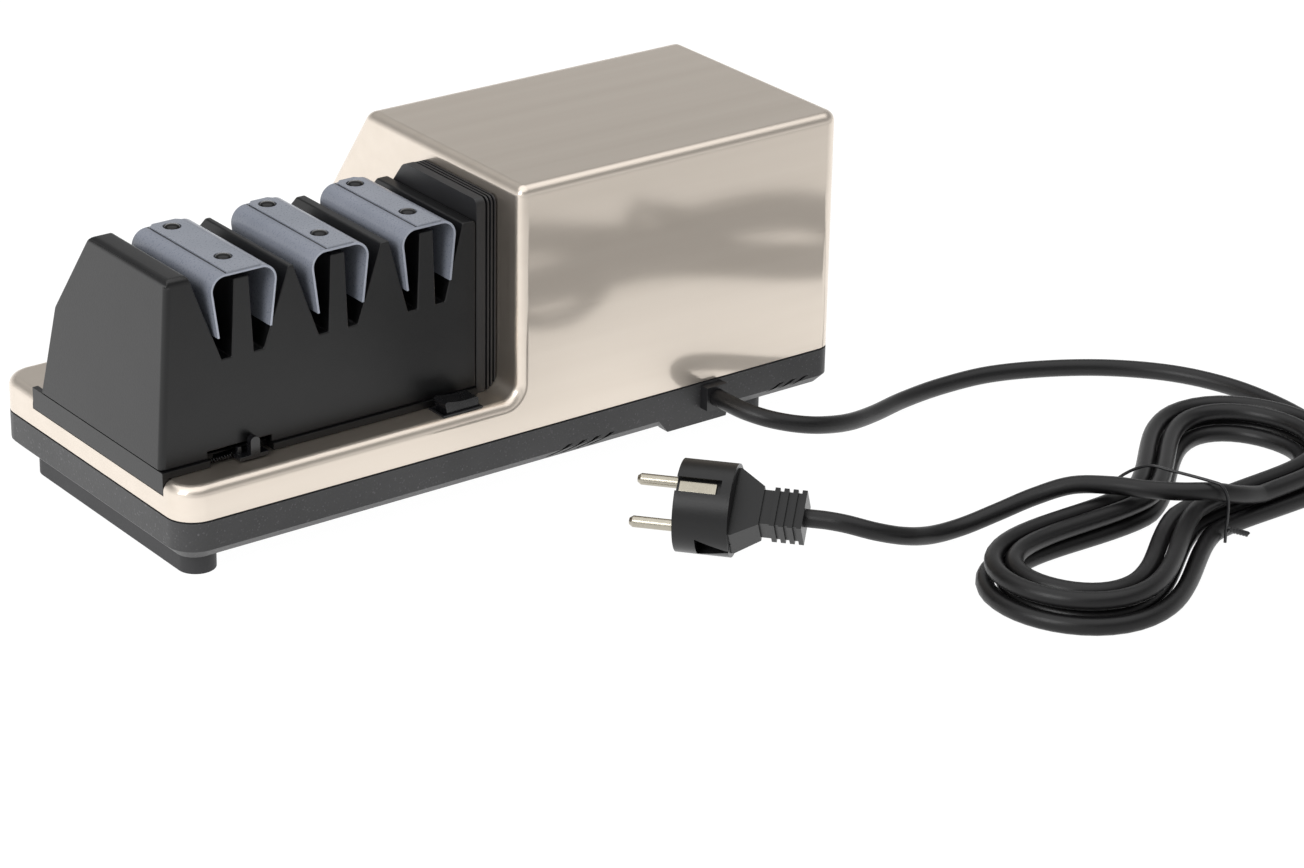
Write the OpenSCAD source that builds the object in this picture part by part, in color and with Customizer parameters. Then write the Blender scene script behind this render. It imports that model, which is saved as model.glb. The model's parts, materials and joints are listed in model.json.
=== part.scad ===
// Electric knife sharpener: a steel-covered motor base and a slide-off sharpening module.
// X runs from the module's free end to the motor box, Z is up, and the cord leaves the -Y side.
// The origin is at the middle of the footprint, on the surface that the feet stand on.

/* [Body] */
// Overall length along X
body_l = 320; // [310:1:340]
// Overall width along Y
body_w = 145; // [141:1:156]
// Overall height above the surface
body_h = 132.5; // [130:0.5:145]
// Height of the deck that the module stands on
deck_z = 42; // [41:0.5:46]
// Height of the seam between pan and cover
seam_z = 27.4; // [26:0.1:28.5]
// Width of the collar between the module and the motor box
collar_w = 10.4; // [9.5:0.1:12]
// Plan radius of the two corners at the module's end
corner_left_r = 12; // [8:0.5:14]
// Plan radius of the two corners at the motor end
corner_right_r = 7.5; // [5:0.5:10]
// Thickness of the cover's sheet
sheet_t = 1.2; // [0.8:0.1:1.5]
// Height of the box's upright front face
front_z = 85.3; // [75:0.1:95]
// How far the top's front edge lies behind the front face
slant_depth = 33.7; // [28:0.1:38]
// Radius of the box's top edges
top_edge_r = 4; // [3:0.5:6]
// Radius of the deck's outer edge
deck_edge_r = 2.5; // [1.5:0.5:4]
// Radius of the sweep from the deck into the box wall
sweep_r = 6.5; // [4:0.5:9]

/* [Base pan] */
// Height of the pan's underside
pan_bottom_z = 10.9; // [9:0.1:12]
// Height of the pan's chamfer
pan_chamfer = 4.2; // [3:0.1:5]
// Pan wall thickness
pan_wall = 3.2; // [2.6:0.1:4]
// Pan floor thickness
pan_floor = 3; // [2:0.1:4]
// Width of the foot bar
foot_bar_w = 15.8; // [12:0.1:18]
// Distance from the foot bar's ends to the body's sides
foot_bar_in = 10.5; // [8:0.5:22]
// Diameter of a rear foot
rear_foot_d = 13; // [11.5:0.1:16]
// Thickness of the seam gasket
gasket_t = 0.8; // [0.5:0.1:1.2]

/* [Module] */
// Length of the module
module_l = 146.6; // [145:0.1:147]
// Distance from the near side to the module's near face
module_in = 15.8; // [14.5:0.1:17.5]
// Depth of the module's flat top, from its near face
module_top_d = 58; // [54:0.1:62]
// Height of the module's end wall
module_h = 80.4; // [79:0.1:84]
// Wall of the module's case
case_wall = 2; // [1.6:0.1:2.4]
// Running gap under and beside the module
slide_gap = 0.3; // [0.2:0.05:0.5]
// Thickness of the module's base plate
module_base_t = 2.7; // [2.4:0.1:3.2]
// Travel of the module when it slides off its coupling
module_travel = 30; // [20:1:40]

/* [Stages] */
// Distance from the module's free end to the middle of stage 1
stage_1_in = 38.1; // [37.5:0.1:38.5]
// Distance from the middle of stage 3 to the module's other end
stage_3_in = 23.6; // [23.2:0.1:23.8]
// Place of stage 2 between the other two, as a share of their distance
stage_2_share = 0.5135; // [0.51:0.0005:0.517]
// Width of a knife slot at its bottom
slot_w = 4.3; // [4.1:0.1:4.5]
// Height of a slot's bottom above the deck
slot_depth_z = 43.3; // [42.5:0.1:44]
// Height of a post's top above the deck
post_h = 75.3; // [74:0.1:76]
// Lean of stage 1's slot walls, in degrees
lean_1 = 20.5; // [19.5:0.1:21]
// Lean of stage 2's slot walls, in degrees
lean_2 = 19.5; // [18.5:0.1:20]
// Lean of stage 3's slot walls, in degrees
lean_3 = 15.2; // [14:0.1:16]
// Thickness of a guide's spring sheet
guide_t = 1; // [0.6:0.1:1.2]
// Length of a guide along Y
guide_l = 59.4; // [56:0.1:60]
// Height of the guides' top face above the deck
guide_h = 78.8; // [78.4:0.1:79.6]
// Thickness of the strip on a guide
strip_t = 0.8; // [0.6:0.1:1]

/* [Drive] */
// Y of the drive axis
axis_y = -15; // [-17:0.5:-13]
// Height of the drive axis
axis_z = 74; // [73:0.5:75]
// Diameter of the shafts
shaft_d = 8; // [7:0.1:9]
// Running gap between a shaft and its bore
shaft_gap = 0.05; // [0.03:0.01:0.08]
// Diameter of a sharpening disc
disc_d = 44; // [42:0.5:44.5]
// Thickness of a sharpening disc
disc_t = 2.2; // [1.8:0.1:2.4]
// Travel of a disc against its spring
disc_travel = 1; // [0.6:0.1:1.2]
// Distance from the near side to the motor's stack
motor_in = 17.5; // [16.5:0.5:22.5]
// Length of the box in front of the motor's stack
motor_front = 51; // [49:1:55]
// Length of the box behind the motor's stack
motor_back = 68; // [64:1:72]

/* [Switch and latch] */
// Length of the rocker
rocker_l = 16.3; // [14:0.1:17]
// Width of the rocker
rocker_w = 8.3; // [7:0.1:8.6]
// Distance from the rocker's middle to the motor box
rocker_to_box = 25.4; // [21:0.1:31]
// Distance from the near side to the rocker's middle
rocker_in = 8.1; // [7.7:0.1:8.5]
// Distance from the module's free end to the latch tab's middle
latch_in = 40.1; // [39:0.1:42]
// Travel of the latch
latch_travel = 5; // [3:0.5:6]

/* [Cord] */
// Cord diameter
cord_d = 7.4; // [7:0.1:7.8]
// Loops in the hank
hank_loops = 4; // [3:1:4]
// Distance between neighbouring loops of the hank
hank_step = 8.2; // [8:0.1:9]
// Pitch of the plug's pins
pin_pitch = 19; // [18.6:0.1:19.4]
// Pin diameter
pin_d = 4.8; // [4:0.1:5]
// Diameter of the plug's body
plug_d = 37.2; // [36:0.1:38]

/* [Hidden] */
$fn = 48;
eps = 0.01;

// Colours, as the photograph shows them
steel_c = "#B9B0A2";
pan_c = "#3A3A3C";
black_c = "#1E1E20";
slate_c = "#7C8494";
rubber_c = "#2A2A2C";
bright_c = "#C9CBCE";
copper_c = "#B5723C";
iron_c = "#6E7074";
zinc_c = "#A9ADB2";

// Body edges
left_x = -body_l / 2;
right_x = body_l / 2;
near_y = -body_w / 2;
far_y = body_w / 2;
box_x = left_x + module_l + collar_w;
foot_bar_l = body_w - 2 * foot_bar_in;
pan_top_z = seam_z - gasket_t / 2;
cover_z = seam_z + gasket_t / 2;
floor_z = pan_bottom_z + pan_floor;
slant_y = far_y - slant_depth;

// Screws
screw_r = 1.9;
screw_head_r = 3.4;
screw_head_t = 2;
hole_r = 2.05;
cover_screw_x = [left_x + 40, box_x + 20, right_x - 22];
cover_screw_y = body_w / 2 - 12.5;
foot_recess = 5;

// Module places
module_x = left_x;
module_end_x = left_x + module_l;
module_near_y = near_y + module_in;
case_z = deck_z + slide_gap + module_base_t;
base_z = deck_z + slide_gap;
wall_top_z = deck_z + module_h;
end_lean = 5.1;
slot_z = deck_z + slot_depth_z;
post_z = deck_z + post_h;
ridge_z = post_z - 0.4;
guide_z = deck_z + guide_h;
top_far_y = module_near_y + module_top_d;
slope_mid_y = top_far_y + 25.5;
slope_mid_z = deck_z + 42.8;
slope_foot_y = slope_mid_y + 9.3;
base_near_y = module_near_y - 1.4;
apron_far_y = slope_foot_y + 7.4;
apron_z = deck_z - 6.1;
apron_t = 2.6;
stage_1_x = module_x + stage_1_in;
stage_3_x = module_end_x - stage_3_in;
stage_x = [stage_1_x, stage_1_x + stage_2_share * (stage_3_x - stage_1_x), stage_3_x];
post_half = [5.1, 4.6, 4.4];
post_top_half = [3.4, 3.3, 3.2];
lean = [lean_1, lean_2, lean_3];
guide_tip_half = [12.2, 10.7, 10.6];
guide_top_half = [15.6, 13.9, 13.4];
strip_half = [7.3, 5.8, 5.5];
guide_tip_z = deck_z + 53;
guide_near_y = module_near_y - 1.9;
guide_screw_y = [guide_near_y + 14.9, guide_near_y + 52.9];
guide_screw_r = 1.5;
guide_screw_l = 12;
disc_seat = 4.7;
rocker_x = box_x - rocker_to_box;
rocker_y = near_y + rocker_in;
latch_x = module_x + latch_in;
latch_window = [latch_x - 18.8, latch_x + 10];

// Motor places
stator_x = box_x + motor_front;
stator_end_x = right_x - motor_back;
stator_l = stator_end_x - stator_x;
stator_side = 2 * (axis_y - near_y - motor_in);
bell_l = 18;
bell_r = stator_side / 2 - 2;
coil_t = 13;
drive_hole_r = 15;
fan_r = 32;
flange_t = 5;
shaft_r = shaft_d / 2;
bearing_r = 11;
bearing_w = 7;
stator_bore_r = stator_side / 4;
air_gap = 0.4;
motor_shaft_x = box_x - 5;
motor_shaft_end_x = stator_end_x + 36;
hone_shaft_x = left_x + 4.7;
hone_shaft_end_x = module_end_x + 3.4;
mount_x = [stator_x - 12, stator_end_x + 12];
mount_y = [for (s = [-1, 1]) axis_y + s * (stator_side / 2 - 11)];
bracket_z = floor_z + 6.1;
bracket_t = 3;
capacitor_r = 15;
capacitor_l = 56;
capacitor_x = box_x + 27;
capacitor_y = far_y - 24.5;
capacitor_z = floor_z + capacitor_r + 0.05;
capacitor_rib_x = [capacitor_x + 6, capacitor_x + 41];
capacitor_rib_h = 8;

// Cord places
gland_x = right_x - 65.6;
gland_z = 21.2;
gland_side = 10.4;
gland_out = 4.7;
cord_r = cord_d / 2;
cord_exit_y = near_y - gland_out;
ground = 3.8;

// Hand-chosen points of the cord from the gland to the hank
LEAD_POINTS = [[94.4, -77.2, 21.2], [94.4, -84.6, 21.2], [96.3, -95, 20.5],
    [102, -104.2, 19], [111.3, -110.8, 17], [123, -113, 14.5], [139, -110.5, 11],
    [158, -103.5, 7.5], [181, -95, 4.9], [206, -91, ground], [232, -93, ground],
    [258, -103, ground], [281, -118, ground], [299, -138, ground], [309, -161, ground],
    [312, -185, ground], [310, -209, ground], [302, -232, ground], [288, -250.5, ground],
    [271, -260.5, ground]];
// Hand-chosen points of the cord from the hank to the plug
TAIL_POINTS = [[214, -264, 16.5], [200.5, -262, 20.6], [189.5, -255, 20.8],
    [180, -246, 20.8], [171, -235, 20.8], [160, -224, 19.5], [148, -215.5, 14.5],
    [134, -209.5, 9], [119, -206, 5.4], [103, -206, 6], [88, -207.3, 10], [75, -204.8, 14.4],
    [65, -198, 17.8]];
HANK_CENTRE = [193, -246];
// The cord as a whole stays with its gland
cord_shift = [gland_x - LEAD_POINTS[0][0], cord_exit_y - LEAD_POINTS[0][1], 0];
hank_turn = 20;
hank_half_l = 94;
hank_waist = 4.3;
hank_lobe = 48;
hank_lobe_skew = 2;
hank_bow = 3;
hank_rings = 24;
// Turns of the hank, counted from its waist, at its two ends
hank_start = -2 / hank_rings;
hank_end = hank_loops - 2 / hank_rings;
plug_at = [21.5, -148.3];
plug_heading = 131;
plug_roll = 142;
plug_l = 50;

// ---------- functions ----------

function unit(v) = v / norm(v);

function corner(a, b, c, r, n) =
    let (u = unit(a - b), v = unit(c - b), half = acos(u * v) / 2, t = r / tan(half),
        m = b + unit(u + v) * r / sin(half), s = b + u * t - m, e = b + v * t - m,
        from = atan2(s[1], s[0]), raw = atan2(e[1], e[0]) - from,
        sweep = raw > 180 ? raw - 360 : raw < -180 ? raw + 360 : raw)
    [for (i = [0:n]) m + r * [cos(from + sweep * i / n), sin(from + sweep * i / n)]];

// A polygon whose corners are rounded by the radii given, 0 for a sharp one
function rounded(points, radii, n = 6) =
    let (last = len(points) - 1)
    [for (i = [0:last]) each radii[i] == 0 ? [points[i]] :
        corner(points[i == 0 ? last : i - 1], points[i], points[i == last ? 0 : i + 1],
            radii[i], n)];

function plan(inset = 0) =
    let (x0 = left_x + inset, x1 = right_x - inset, y0 = near_y + inset, y1 = far_y - inset,
        rl = corner_left_r - inset, rr = corner_right_r - inset)
    rounded([[x0, y0], [x1, y0], [x1, y1], [x0, y1]], [rl, rr, rr, rl]);

function box_plan(inset = 0) =
    let (x0 = box_x + inset, x1 = right_x - inset, y0 = near_y + inset, y1 = far_y - inset,
        rl = 4.6 - inset, rr = corner_right_r - inset)
    rounded([[x0, y0], [x1, y0], [x1, y1], [x0, y1]], [rl, rr, rr, rl]);

// The box seen from its end: upright back, flat top, slanted front
function box_side(inset = 0) =
    let (z1 = body_h - inset, k = inset * 0.45, r = top_edge_r - inset)
    rounded([[near_y + inset, 0], [near_y + inset, z1], [slant_y - k, z1],
        [far_y - inset, front_z - k], [far_y - inset, 0]], [0, r, r, r + 1, 0]);

function box_front(inset = 0) =
    let (z1 = body_h - inset, r = top_edge_r - inset)
    rounded([[box_x + inset, 0], [box_x + inset, z1], [right_x - inset, z1],
        [right_x - inset, 0]], [0, r, r, 0]);

function deck_side(inset = 0) =
    let (z1 = deck_z - inset, r = deck_edge_r - inset)
    rounded([[near_y + inset, 0], [near_y + inset, z1], [far_y - inset, z1],
        [far_y - inset, 0]], [0, r, r, 0], 4);

function deck_front(inset = 0) =
    let (z1 = deck_z - inset, r = deck_edge_r - inset)
    rounded([[left_x + inset, 0], [left_x + inset, z1], [right_x - inset, z1],
        [right_x - inset, 0]], [0, r, 0, 0], 4);

// The module seen from its end
function module_side(inset = 0) =
    rounded([[module_near_y + inset, 0], [module_near_y + inset, wall_top_z - inset],
        [top_far_y - inset * 0.6, wall_top_z - inset],
        [slope_mid_y - inset, slope_mid_z - inset * 0.4], [slope_foot_y - inset, case_z],
        [slope_foot_y - inset, 0]], [0, 3 - inset, 5 - inset, 6 - inset, 0, 0]);

// X of a stage's slot wall at height z; side is -1 or 1
function slot_wall_x(i, side, z) =
    stage_x[i] + side * (post_half[i] + slot_w + (z - slot_z) * tan(lean[i]));

// Outline of the module's top with its three stages, seen from the near side
function stage_points(i) = [
    [slot_wall_x(i, -1, ridge_z), ridge_z], [slot_wall_x(i, -1, slot_z), slot_z],
    [stage_x[i] - post_half[i], slot_z], [stage_x[i] - post_top_half[i], post_z],
    [stage_x[i] + post_top_half[i], post_z], [stage_x[i] + post_half[i], slot_z],
    [slot_wall_x(i, 1, slot_z), slot_z], [slot_wall_x(i, 1, ridge_z), ridge_z]];
stage_radii = [0.8, 0, 0, 0.8, 0.8, 0, 0, 0.8];
module_front = rounded(concat([[module_x, 0], [module_x, case_z],
    [module_x + end_lean, wall_top_z], [slot_wall_x(0, -1, ridge_z) - 2, wall_top_z]],
    [for (i = [0:2]) each stage_points(i)],
    [[module_end_x, ridge_z], [module_end_x, 0]]),
    concat([0, 0, 3, 2], stage_radii, stage_radii, stage_radii, [2, 0]), 4);

function spline(a, b, c, d, t) =
    0.5 * (2 * b + (c - a) * t + (2 * a - 5 * b + 4 * c - d) * t * t
        + (3 * b - a - 3 * c + d) * t * t * t);

// A smooth path through the points, n steps from each to the next, with both ends straight
function smooth(p, n) =
    let (last = len(p) - 1)
    [for (i = [0:last - 1]) for (k = [0:(i == 0 || i == last - 1 ? 0 : n - 1)])
        spline(p[max(i - 1, 0)], p[i], p[i + 1], p[min(i + 2, last)], k / n), p[last]];

// The hank: loops spiral in on the lower layer, climb, and spiral out on the upper one
function hank_offset(t) = hank_step * abs(hank_loops / 2 - t);
function hank_layer(t) =
    let (s = (t - hank_loops / 2) * 2 + 0.5)
    s <= 0 ? 0 : s >= 1 ? 1 : s * s * (3 - 2 * s);
function hank_bare(a) =
    let (lobe = pow(abs(cos(a)), 1.6))
    [hank_half_l * cos(a),
        sin(a) * (hank_waist + (hank_lobe + hank_lobe_skew * cos(a)) * lobe) + hank_bow * lobe];
function hank_point(t) =
    let (a = 270 - 360 * t, p = hank_bare(a), q = hank_bare(a + 0.5) - hank_bare(a - 0.5),
        n = unit([q[1], -q[0]]), v = p + n * hank_offset(t))
    [HANK_CENTRE[0] + v[0] * cos(hank_turn) - v[1] * sin(hank_turn),
        HANK_CENTRE[1] + v[0] * sin(hank_turn) + v[1] * cos(hank_turn),
        ground + hank_step * hank_layer(t)];
function hank_way(t) = unit(hank_point(t + 0.002) - hank_point(t - 0.002));
// Both ends of the hank run straight for one diameter
hank_in = hank_point(hank_start) - cord_d * hank_way(hank_start);
hank_out = hank_point(hank_end) + cord_d * hank_way(hank_end);
hank_path = concat([hank_in],
    [for (i = [0:(hank_end - hank_start) * hank_rings]) hank_point(hank_start + i / hank_rings)],
    [hank_out]);

// ---------- shared solids ----------

// A tube swept along a path of points, as one closed mesh of triangles
module tube(path, r, sides) {
    last = len(path) - 1;
    function run(i) = unit(path[min(i + 1, last)] - path[max(i - 1, 0)]);
    rings = [for (i = [0:last]) let (t = run(i), s = unit(cross(t, [0, 0, 1])),
            u = cross(s, t)) for (k = [0:sides - 1])
        path[i] + r * (cos(360 * k / sides) * s + sin(360 * k / sides) * u)];
    skin = [for (i = [0:last - 1]) for (k = [0:sides - 1])
        let (a = i * sides + k, b = i * sides + (k + 1) % sides)
        each [[a, a + sides, b], [b, a + sides, b + sides]]];
    ends = [for (k = [1:sides - 2])
        each [[0, k, k + 1], [last * sides, last * sides + k + 1, last * sides + k]]];
    polyhedron(rings, concat(skin, ends));
}

// A cylinder along X between two places on the drive axis
module shaft_disc(x0, x1, r, bore = 0) {
    translate([x0, axis_y, axis_z]) rotate([0, 90, 0]) difference() {
        cylinder(h = x1 - x0, r = r);
        if (bore > 0) {
            translate([0, 0, -1]) cylinder(h = x1 - x0 + 2, r = bore);
        }
    }
}

// A screw with its head at z = 0, pointing up (up = 1) or down (up = -1)
module screw(length, up, r = screw_r, head_r = screw_head_r, head_t = screw_head_t) {
    mirror([0, 0, up > 0 ? 0 : 1]) difference() {
        union() {
            cylinder(h = head_t, r = head_r);
            translate([0, 0, head_t - eps]) cylinder(h = length + eps, r = r);
        }
        translate([-head_r, -0.4, -eps]) cube([2 * head_r, 0.8, 0.8]);
    }
}

module along_x(points, x0, x1) {
    translate([x0, 0, 0]) rotate([90, 0, 90]) linear_extrude(x1 - x0) polygon(points);
}

module along_y(points, y0, y1) {
    translate([0, y1, 0]) rotate([90, 0, 0]) linear_extrude(y1 - y0) polygon(points);
}

// ---------- base ----------

module pan_block(inset, z0, z1, chamfer) {
    hull() {
        translate([0, 0, z0]) linear_extrude(0.1) polygon(plan(inset + chamfer));
        translate([0, 0, z0 + chamfer]) linear_extrude(z1 - z0 - chamfer) polygon(plan(inset));
    }
}

module vent_slit(x0, x1, z0, z1) {
    along_y([[x0, z0], [x0 + 2.6, z0], [x1 + 2.6, z1], [x1, z1]], near_y - 1,
        near_y + pan_chamfer + 2);
}

module base_pan() {
    gland_hole = gland_side - 1.4;
    color(pan_c) difference() {
        union() {
            difference() {
                pan_block(0, pan_bottom_z, pan_top_z, pan_chamfer);
                pan_block(pan_wall, floor_z, pan_top_z + 1, 1.5);
            }
            // The wall runs straight down beside the cord
            along_y([[gland_x - 27.5, pan_bottom_z + pan_chamfer + 1],
                [gland_x - 22, pan_bottom_z - 1.7], [gland_x + 8.5, pan_bottom_z - 1.7],
                [gland_x + 10.5, pan_bottom_z + pan_chamfer + 1]], near_y, near_y + 6);
            for (x = cover_screw_x) for (s = [-1, 1])
                translate([x, s * cover_screw_y, floor_z - eps])
                    cylinder(h = pan_top_z - floor_z - 0.2, r = 4.5);
            for (x = capacitor_rib_x)
                translate([x, capacitor_y - capacitor_r + 3, floor_z - eps])
                    cube([4, 2 * capacitor_r - 6, capacitor_rib_h]);
        }
        for (x = cover_screw_x) for (s = [-1, 1])
            translate([x, s * cover_screw_y, pan_bottom_z - 1]) {
                cylinder(h = 30, r = hole_r);
                cylinder(h = 1 + screw_head_t + 0.2, r = screw_head_r + 0.3);
            }
        for (x = mount_x) for (y = mount_y)
            translate([x, y, pan_bottom_z - 1]) cylinder(h = pan_floor + 2, r = hole_r);
        for (p = foot_places())
            translate([p[0], p[1], pan_bottom_z - 1]) cylinder(h = pan_floor + 2, r = hole_r);
        translate([gland_x - gland_hole / 2, near_y - 1, gland_z - gland_hole / 2])
            cube([gland_hole, pan_wall + 6, gland_hole]);
        for (x = [box_x + 15:7:box_x + 36])
            vent_slit(x, x + 9.5, pan_bottom_z + 1.2, pan_bottom_z + 5.6);
        for (x = [right_x - 35.5:6.5:right_x - 22.5])
            vent_slit(x, x + 7, pan_bottom_z + 3.2, pan_bottom_z + 6);
        translate([capacitor_x + 3, capacitor_y, capacitor_z + 0.05]) rotate([0, 90, 0])
            cylinder(h = capacitor_l + 4, r = capacitor_r + 0.1);
    }
}

bar_x = left_x + 16.2;
function foot_places() = [[bar_x, -foot_bar_l / 2 + 20], [bar_x, foot_bar_l / 2 - 20],
    [right_x - 35.8, near_y + 15], [right_x - 35.8, far_y - 15]];

module foot_hole() {
    translate([0, 0, -1]) cylinder(h = pan_bottom_z + 2, r = hole_r);
    translate([0, 0, -1]) cylinder(h = foot_recess + 1, r = screw_head_r + 0.3);
}

module foot_bar() {
    r = foot_bar_w / 2;
    color(rubber_c) difference() {
        translate([bar_x, 0, 0]) union() {
            translate([-r, -foot_bar_l / 2 + r, 0]) cube([2 * r, foot_bar_l - 2 * r, pan_bottom_z]);
            for (s = [-1, 1]) translate([0, s * (foot_bar_l / 2 - r), 0])
                cylinder(h = pan_bottom_z, r = r);
        }
        for (i = [0, 1]) translate(foot_places()[i]) foot_hole();
    }
}

module rear_feet() {
    r = rear_foot_d / 2;
    color(rubber_c) for (i = [2, 3]) translate(foot_places()[i]) difference() {
        rotate_extrude() polygon([[0, 0], [r - 0.8, 0], [r, 0.8], [r, pan_bottom_z],
            [0, pan_bottom_z]]);
        foot_hole();
    }
}

module foot_screws() {
    color(zinc_c) for (p = foot_places())
        translate([p[0], p[1], foot_recess - screw_head_t]) screw(pan_bottom_z + 2.4 - foot_recess, 1);
}

// ---------- cover ----------

module cover_solid(inset) {
    intersection() {
        linear_extrude(deck_z) polygon(plan(inset));
        along_x(deck_side(inset), left_x - 1, right_x + 1);
        along_y(deck_front(inset), near_y - 1, far_y + 1);
    }
    intersection() {
        linear_extrude(body_h) polygon(box_plan(inset));
        along_x(box_side(inset), left_x - 1, right_x + 1);
        along_y(box_front(inset), near_y - 1, far_y + 1);
    }
}

module cover() {
    r = sweep_r;
    sweep_side = deck_edge_r;
    sweep = concat([[box_x + 0.5, deck_z - 0.5], [box_x - r, deck_z - 0.5]],
        [for (i = [0:6]) [box_x - r + r * sin(15 * i), deck_z + r - r * cos(15 * i)]],
        [[box_x + 0.5, deck_z + r]]);
    color(steel_c) difference() {
        union() {
            difference() {
                union() {
                    cover_solid(0);
                    along_y(sweep, near_y + sweep_side, far_y - sweep_side);
                }
                cover_solid(sheet_t);
                translate([0, 0, -1]) linear_extrude(cover_z + 1) square(2 * body_l, center = true);
            }
            // Tabs that take the cover's screws
            for (x = cover_screw_x) for (s = [-1, 1])
                translate([x - 6, s > 0 ? cover_screw_y - 5 : near_y + 0.6, cover_z])
                    cube([12, body_w / 2 - cover_screw_y + 4.4, sheet_t]);
        }
        for (x = cover_screw_x) for (s = [-1, 1])
            translate([x, s * cover_screw_y, cover_z - 1]) cylinder(h = sheet_t + 2, r = screw_r + 0.05);
        // Notch that takes the module's end apron
        translate([left_x - 1, base_near_y - slide_gap, apron_z - slide_gap])
            cube([apron_t + 1.3, apron_far_y - base_near_y + 2 * slide_gap, 20]);
        // The drive passes through the box wall
        shaft_disc(box_x - 20, box_x + 5, drive_hole_r);
        // Cut-out for the switch
        translate([rocker_x - rocker_l / 2 - 0.9, rocker_y - rocker_w / 2 - 0.9, deck_z - 5])
            cube([rocker_l + 1.8, rocker_w + 1.8, 10]);
        // Screws of the module's rails
        for (p = rail_screws()) translate([p[0], p[1], deck_z - 5]) cylinder(h = 10, r = 1.25);
    }
}

module cover_screws() {
    color(zinc_c) for (x = cover_screw_x) for (s = [-1, 1])
        translate([x, s * cover_screw_y, pan_bottom_z]) screw(cover_z + 2.4 - pan_bottom_z - screw_head_t, 1);
}

module seam_gasket() {
    color(black_c) translate([0, 0, pan_top_z]) linear_extrude(gasket_t) difference() {
        polygon(plan(0.6));
        polygon(plan(pan_wall));
        for (x = cover_screw_x) for (s = [-1, 1])
            translate([x, s * cover_screw_y]) square([14, 12], center = true);
    }
}

rail_y = [module_near_y + 16, slope_foot_y - 14];
rail_x = left_x + 20;
rail_l = module_l - 26.6;
rail_w = 6;
rail_t = 1.7;
function rail_screws() = [for (y = rail_y) for (x = [rail_x + 12, rail_x + rail_l - 12]) [x, y]];

module module_rails() {
    color(zinc_c) for (y = rail_y)
        translate([rail_x, y - rail_w / 2, deck_z]) cube([rail_l, rail_w, rail_t]);
    color(zinc_c) for (p = rail_screws())
        translate([p[0], p[1], deck_z - 6]) cylinder(h = 6 + eps, r = 1.2);
}

// ---------- collar between the module and the box ----------

function seal_side(inset) =
    rounded([[module_near_y + inset, deck_z], [module_near_y + inset, wall_top_z + 2.8 - inset],
        [top_far_y - 6 - inset * 0.4, wall_top_z + 2.8 - inset], [slope_mid_y + 1 - inset, slope_mid_z],
        [slope_foot_y - inset, deck_z]], [0, 3, 6, 6, 0]);

module module_seal() {
    x0 = module_end_x + slide_gap;
    r = sweep_r - 0.1;
    rib_pitch = 1.7;
    front = concat([[x0, deck_z], [box_x - sweep_r, deck_z]],
        [for (i = [1:6]) [box_x - sweep_r + r * sin(15 * i), deck_z + sweep_r - r * cos(15 * i)]],
        [[box_x, deck_z + sweep_r + 0.1], [box_x, body_h], [x0, body_h]]);
    color(black_c) difference() {
        intersection() {
            union() {
                along_x(seal_side(0), x0, x0 + 4.2);
                along_x(seal_side(1.4), x0 + 4, box_x);
                for (i = [0:2])
                    along_x(seal_side(0.2), x0 + 5.4 + rib_pitch * i, x0 + 6.2 + rib_pitch * i);
            }
            along_y(front, near_y, far_y);
        }
        shaft_disc(x0 - 1, box_x + 1, drive_hole_r - 0.5);
    }
}

// ---------- motor ----------

module motor_bracket() {
    half = stator_side / 2;
    color(zinc_c) difference() {
        union() {
            translate([mount_x[0] - 9, axis_y - half, bracket_z])
                cube([mount_x[1] - mount_x[0] + 18, stator_side, bracket_t]);
            for (x = [stator_x + 4, stator_end_x - 7])
                translate([x, axis_y - half, bracket_z + bracket_t - eps])
                    cube([3, stator_side, axis_z - half - bracket_z - bracket_t + eps]);
            for (s = [-1, 1]) translate([stator_x + 4, axis_y + s * (half + 1.5) - 1.5, bracket_z])
                cube([stator_l - 8, 3, 34]);
        }
        for (x = mount_x) for (y = mount_y)
            translate([x, y, bracket_z - 1]) cylinder(h = bracket_t + 2, r = hole_r);
    }
}

module motor_mounts() {
    color(rubber_c) for (x = mount_x) for (y = mount_y) translate([x, y, floor_z]) difference() {
        cylinder(h = bracket_z - floor_z, r = 7);
        translate([0, 0, -1]) cylinder(h = 20, r = hole_r);
    }
}

module bracket_screws() {
    color(zinc_c) for (x = mount_x) for (y = mount_y)
        translate([x, y, bracket_z + bracket_t + screw_head_t])
            screw(bracket_z + bracket_t - pan_bottom_z - 0.5, -1);
}

module motor_stator() {
    half = stator_side / 2;
    bolt = half - 7;
    color(iron_c) difference() {
        translate([stator_x, axis_y - half, axis_z - half]) cube([stator_l, stator_side, stator_side]);
        shaft_disc(stator_x - 1, stator_end_x + 1, stator_bore_r);
        for (sy = [-1, 1]) for (sz = [-1, 1]) {
            translate([stator_x - 1, axis_y + sy * bolt, axis_z + sz * bolt]) rotate([0, 90, 0])
                cylinder(h = stator_l + 2, r = hole_r);
            translate([stator_x - 1, axis_y + sy * half, axis_z + sz * half]) rotate([45, 0, 0])
                translate([0, -4, -4]) cube([stator_l + 2, 8, 8]);
        }
    }
}

module motor_coils() {
    coil_r = stator_bore_r + 2;
    color(copper_c) for (x = [stator_x - coil_t, stator_end_x]) translate([x, axis_y, axis_z])
        rotate([0, 90, 0]) rotate_extrude() translate([coil_r, 0])
            square([bell_r - 5 - coil_r, coil_t]);
}

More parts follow.
